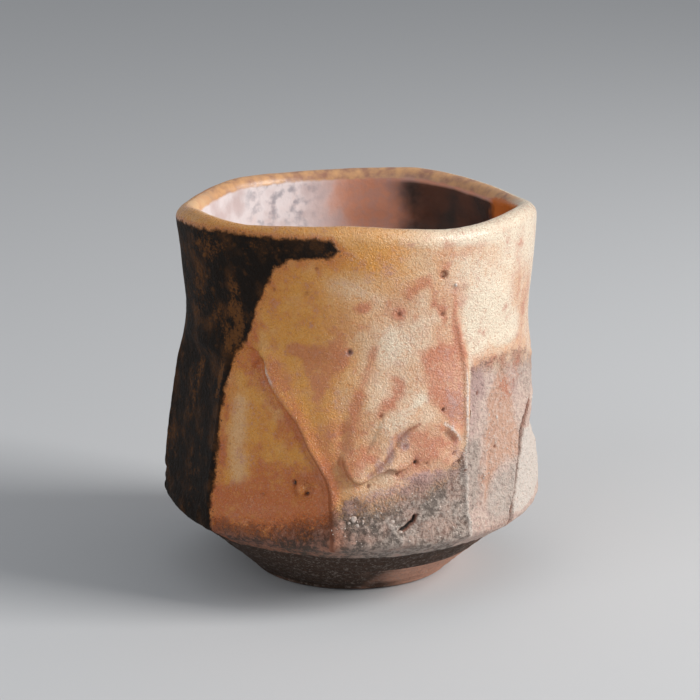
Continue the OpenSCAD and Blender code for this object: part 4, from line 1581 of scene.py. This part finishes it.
class CUP_OT_feldspar(bpy.types.Operator):
    """Seat lumps of feldspar and grit in the skin"""

    bl_idname = "cup.feldspar"
    bl_label = "Feldspar and Grit"

    # Grains tried over the skin, of which those on the ash are kept
    TRIES = 1500
    SEED = 7
    # How deep a lump sits, as a share of its radius
    SEATED = 0.45
    # The scoop's middle and half its width in degrees, kept free of loose grains
    SCOOP, SCOOP_HALF = -28, 22

    def execute(self, context):
        form = CupForm(context.scene.cup_sizes)
        chance = np.random.default_rng(self.SEED)
        ranges = ((-180, 180), (17.5, 50), (0.12, 0.3))
        b, h, radius = (chance.uniform(low, high, self.TRIES) for low, high in ranges)
        kept = (form.ash_depth(b, h) > 0.5) & (within(SCORCH, b, h) <= -1)
        kept &= np.abs(b - self.SCOOP) >= self.SCOOP_HALF
        lumps = np.concatenate([np.array(FELDSPAR), np.stack([b, h, radius], axis=1)[kept]])
        spots = form.side_place(lumps[:, 0], lumps[:, 1])
        bm = bmesh.new()
        for i, ((b, _, radius), at) in enumerate(zip(lumps, spots)):
            rounds = 3 if i < len(FELDSPAR) else 1
            made = bmesh.ops.create_icosphere(bm, subdivisions=rounds, radius=radius * MM)["verts"]
            bmesh.ops.scale(bm, vec=Vector(chance.uniform(0.75, 1.25, 3)), verts=made)
            corners = np.array([v.co for v in made]) / MM
            bumps = 1 + 0.22 * unevenness(corners + at, radius * 0.9, 22)
            for vertex, bump in zip(made, bumps):
                vertex.co *= bump
            turned = math.radians(b)
            inward = Vector((-math.sin(turned), math.cos(turned), 0)) * radius * self.SEATED * MM
            bmesh.ops.translate(bm, vec=Vector(at * MM) + inward, verts=made)
        for face in bm.faces:
            face.smooth = True
        piece = linked(bm, "feldspar_grains")
        finish_piece(piece, feldspar_material(context.scene.cup_finish), "clay")
        return {"FINISHED"}


class CUP_OT_stage(bpy.types.Operator):
    """Lay the floor, hang the lamps and set up the camera"""

    bl_idname = "cup.stage"
    bl_label = "Floor, Lamps and Camera"

    # Half the floor's width and the middle of the cup, in metres
    FLOOR_HALF = 6
    MIDDLE = (0, 0, 0.045)
    ROOM_COLOUR = (0.95, 0.97, 1, 1)
    # Each lamp's setting, with its place and size in metres, watts and colour
    LAMPS = {
        "key": ("key_light", (0.82, -0.2, 0.5), 0.42, 9.6, (1, 0.985, 0.96)),
        "fill": ("fill_light", (-0.6, -0.7, 0.5), 0.8, 2, (0.96, 0.98, 1)),
    }

    def execute(self, context):
        scene = context.scene
        stage = scene.cup_stage
        bm = bmesh.new()
        bmesh.ops.create_grid(bm, x_segments=1, y_segments=1, size=self.FLOOR_HALF)
        floor = linked(bm, "floor")
        floor.data.materials.append(floor_material())

        world = bpy.data.worlds.new("room")
        world.use_nodes = True
        background = world.node_tree.nodes["Background"]
        background.inputs["Color"].default_value = self.ROOM_COLOUR
        background.inputs["Strength"].default_value = stage.room_light
        scene.world = world

        for name, (setting, at, size, watts, colour) in self.LAMPS.items():
            light = bpy.data.lights.new(name, "AREA")
            light.shape = "SQUARE"
            light.size = size
            light.energy = watts * getattr(stage, setting)
            light.color = colour
            lamp = bpy.data.objects.new(name, light)
            lamp.location = at
            lamp.rotation_euler = (Vector(self.MIDDLE) - Vector(at)).to_track_quat("-Z", "Y").to_euler()
            scene.collection.objects.link(lamp)

        camera = bpy.data.objects.new("camera", bpy.data.cameras.new("camera"))
        camera.data.lens = stage.lens
        camera.data.sensor_width = 36
        camera.data.clip_start = 0.01
        away = Vector((0, -math.cos(stage.tilt), math.sin(stage.tilt))) * stage.distance
        camera.location = Vector((-stage.offset, 0, stage.aim_h)) + away
        camera.rotation_euler = (math.pi / 2 - stage.tilt, 0, 0)
        scene.collection.objects.link(camera)
        scene.camera = camera
        scene.view_settings.view_transform = "Standard"
        return {"FINISHED"}


class CUP_PT_panel(bpy.types.Panel):
    """The cup's pieces, sizes and finishes"""

    bl_idname = "CUP_PT_panel"
    bl_label = "Tea Cup"
    bl_space_type = "VIEW_3D"
    bl_region_type = "UI"
    bl_category = "Tea Cup"

    def draw(self, context):
        for operator in OPERATORS:
            self.layout.operator(operator.bl_idname)
        for group in (context.scene.cup_sizes, context.scene.cup_finish, context.scene.cup_stage):
            box = self.layout.box()
            for name in type(group).__annotations__:
                box.prop(group, name)


OPERATORS = (
    CUP_OT_wall,
    CUP_OT_floor,
    CUP_OT_foot,
    CUP_OT_outer_glaze,
    CUP_OT_inner_glaze,
    CUP_OT_feldspar,
    CUP_OT_stage,
)
GROUPS = {"cup_sizes": CupSizes, "cup_finish": CupFinish, "cup_stage": CupStage}


def register():
    for group in GROUPS.values():
        bpy.utils.register_class(group)
    for name, group in GROUPS.items():
        setattr(bpy.types.Scene, name, bpy.props.PointerProperty(type=group))
    for operator in OPERATORS:
        bpy.utils.register_class(operator)
    bpy.utils.register_class(CUP_PT_panel)


def unregister():
    bpy.utils.unregister_class(CUP_PT_panel)
    for operator in reversed(OPERATORS):
        bpy.utils.unregister_class(operator)
    for name, group in reversed(GROUPS.items()):
        delattr(bpy.types.Scene, name)
        bpy.utils.unregister_class(group)


def main():
    register()
    bpy.ops.cup.wall()
    bpy.ops.cup.floor()
    bpy.ops.cup.foot()
    bpy.ops.cup.outer_glaze()
    bpy.ops.cup.inner_glaze()
    bpy.ops.cup.feldspar()
    bpy.ops.cup.stage()


if __name__ == "__main__":
    main()
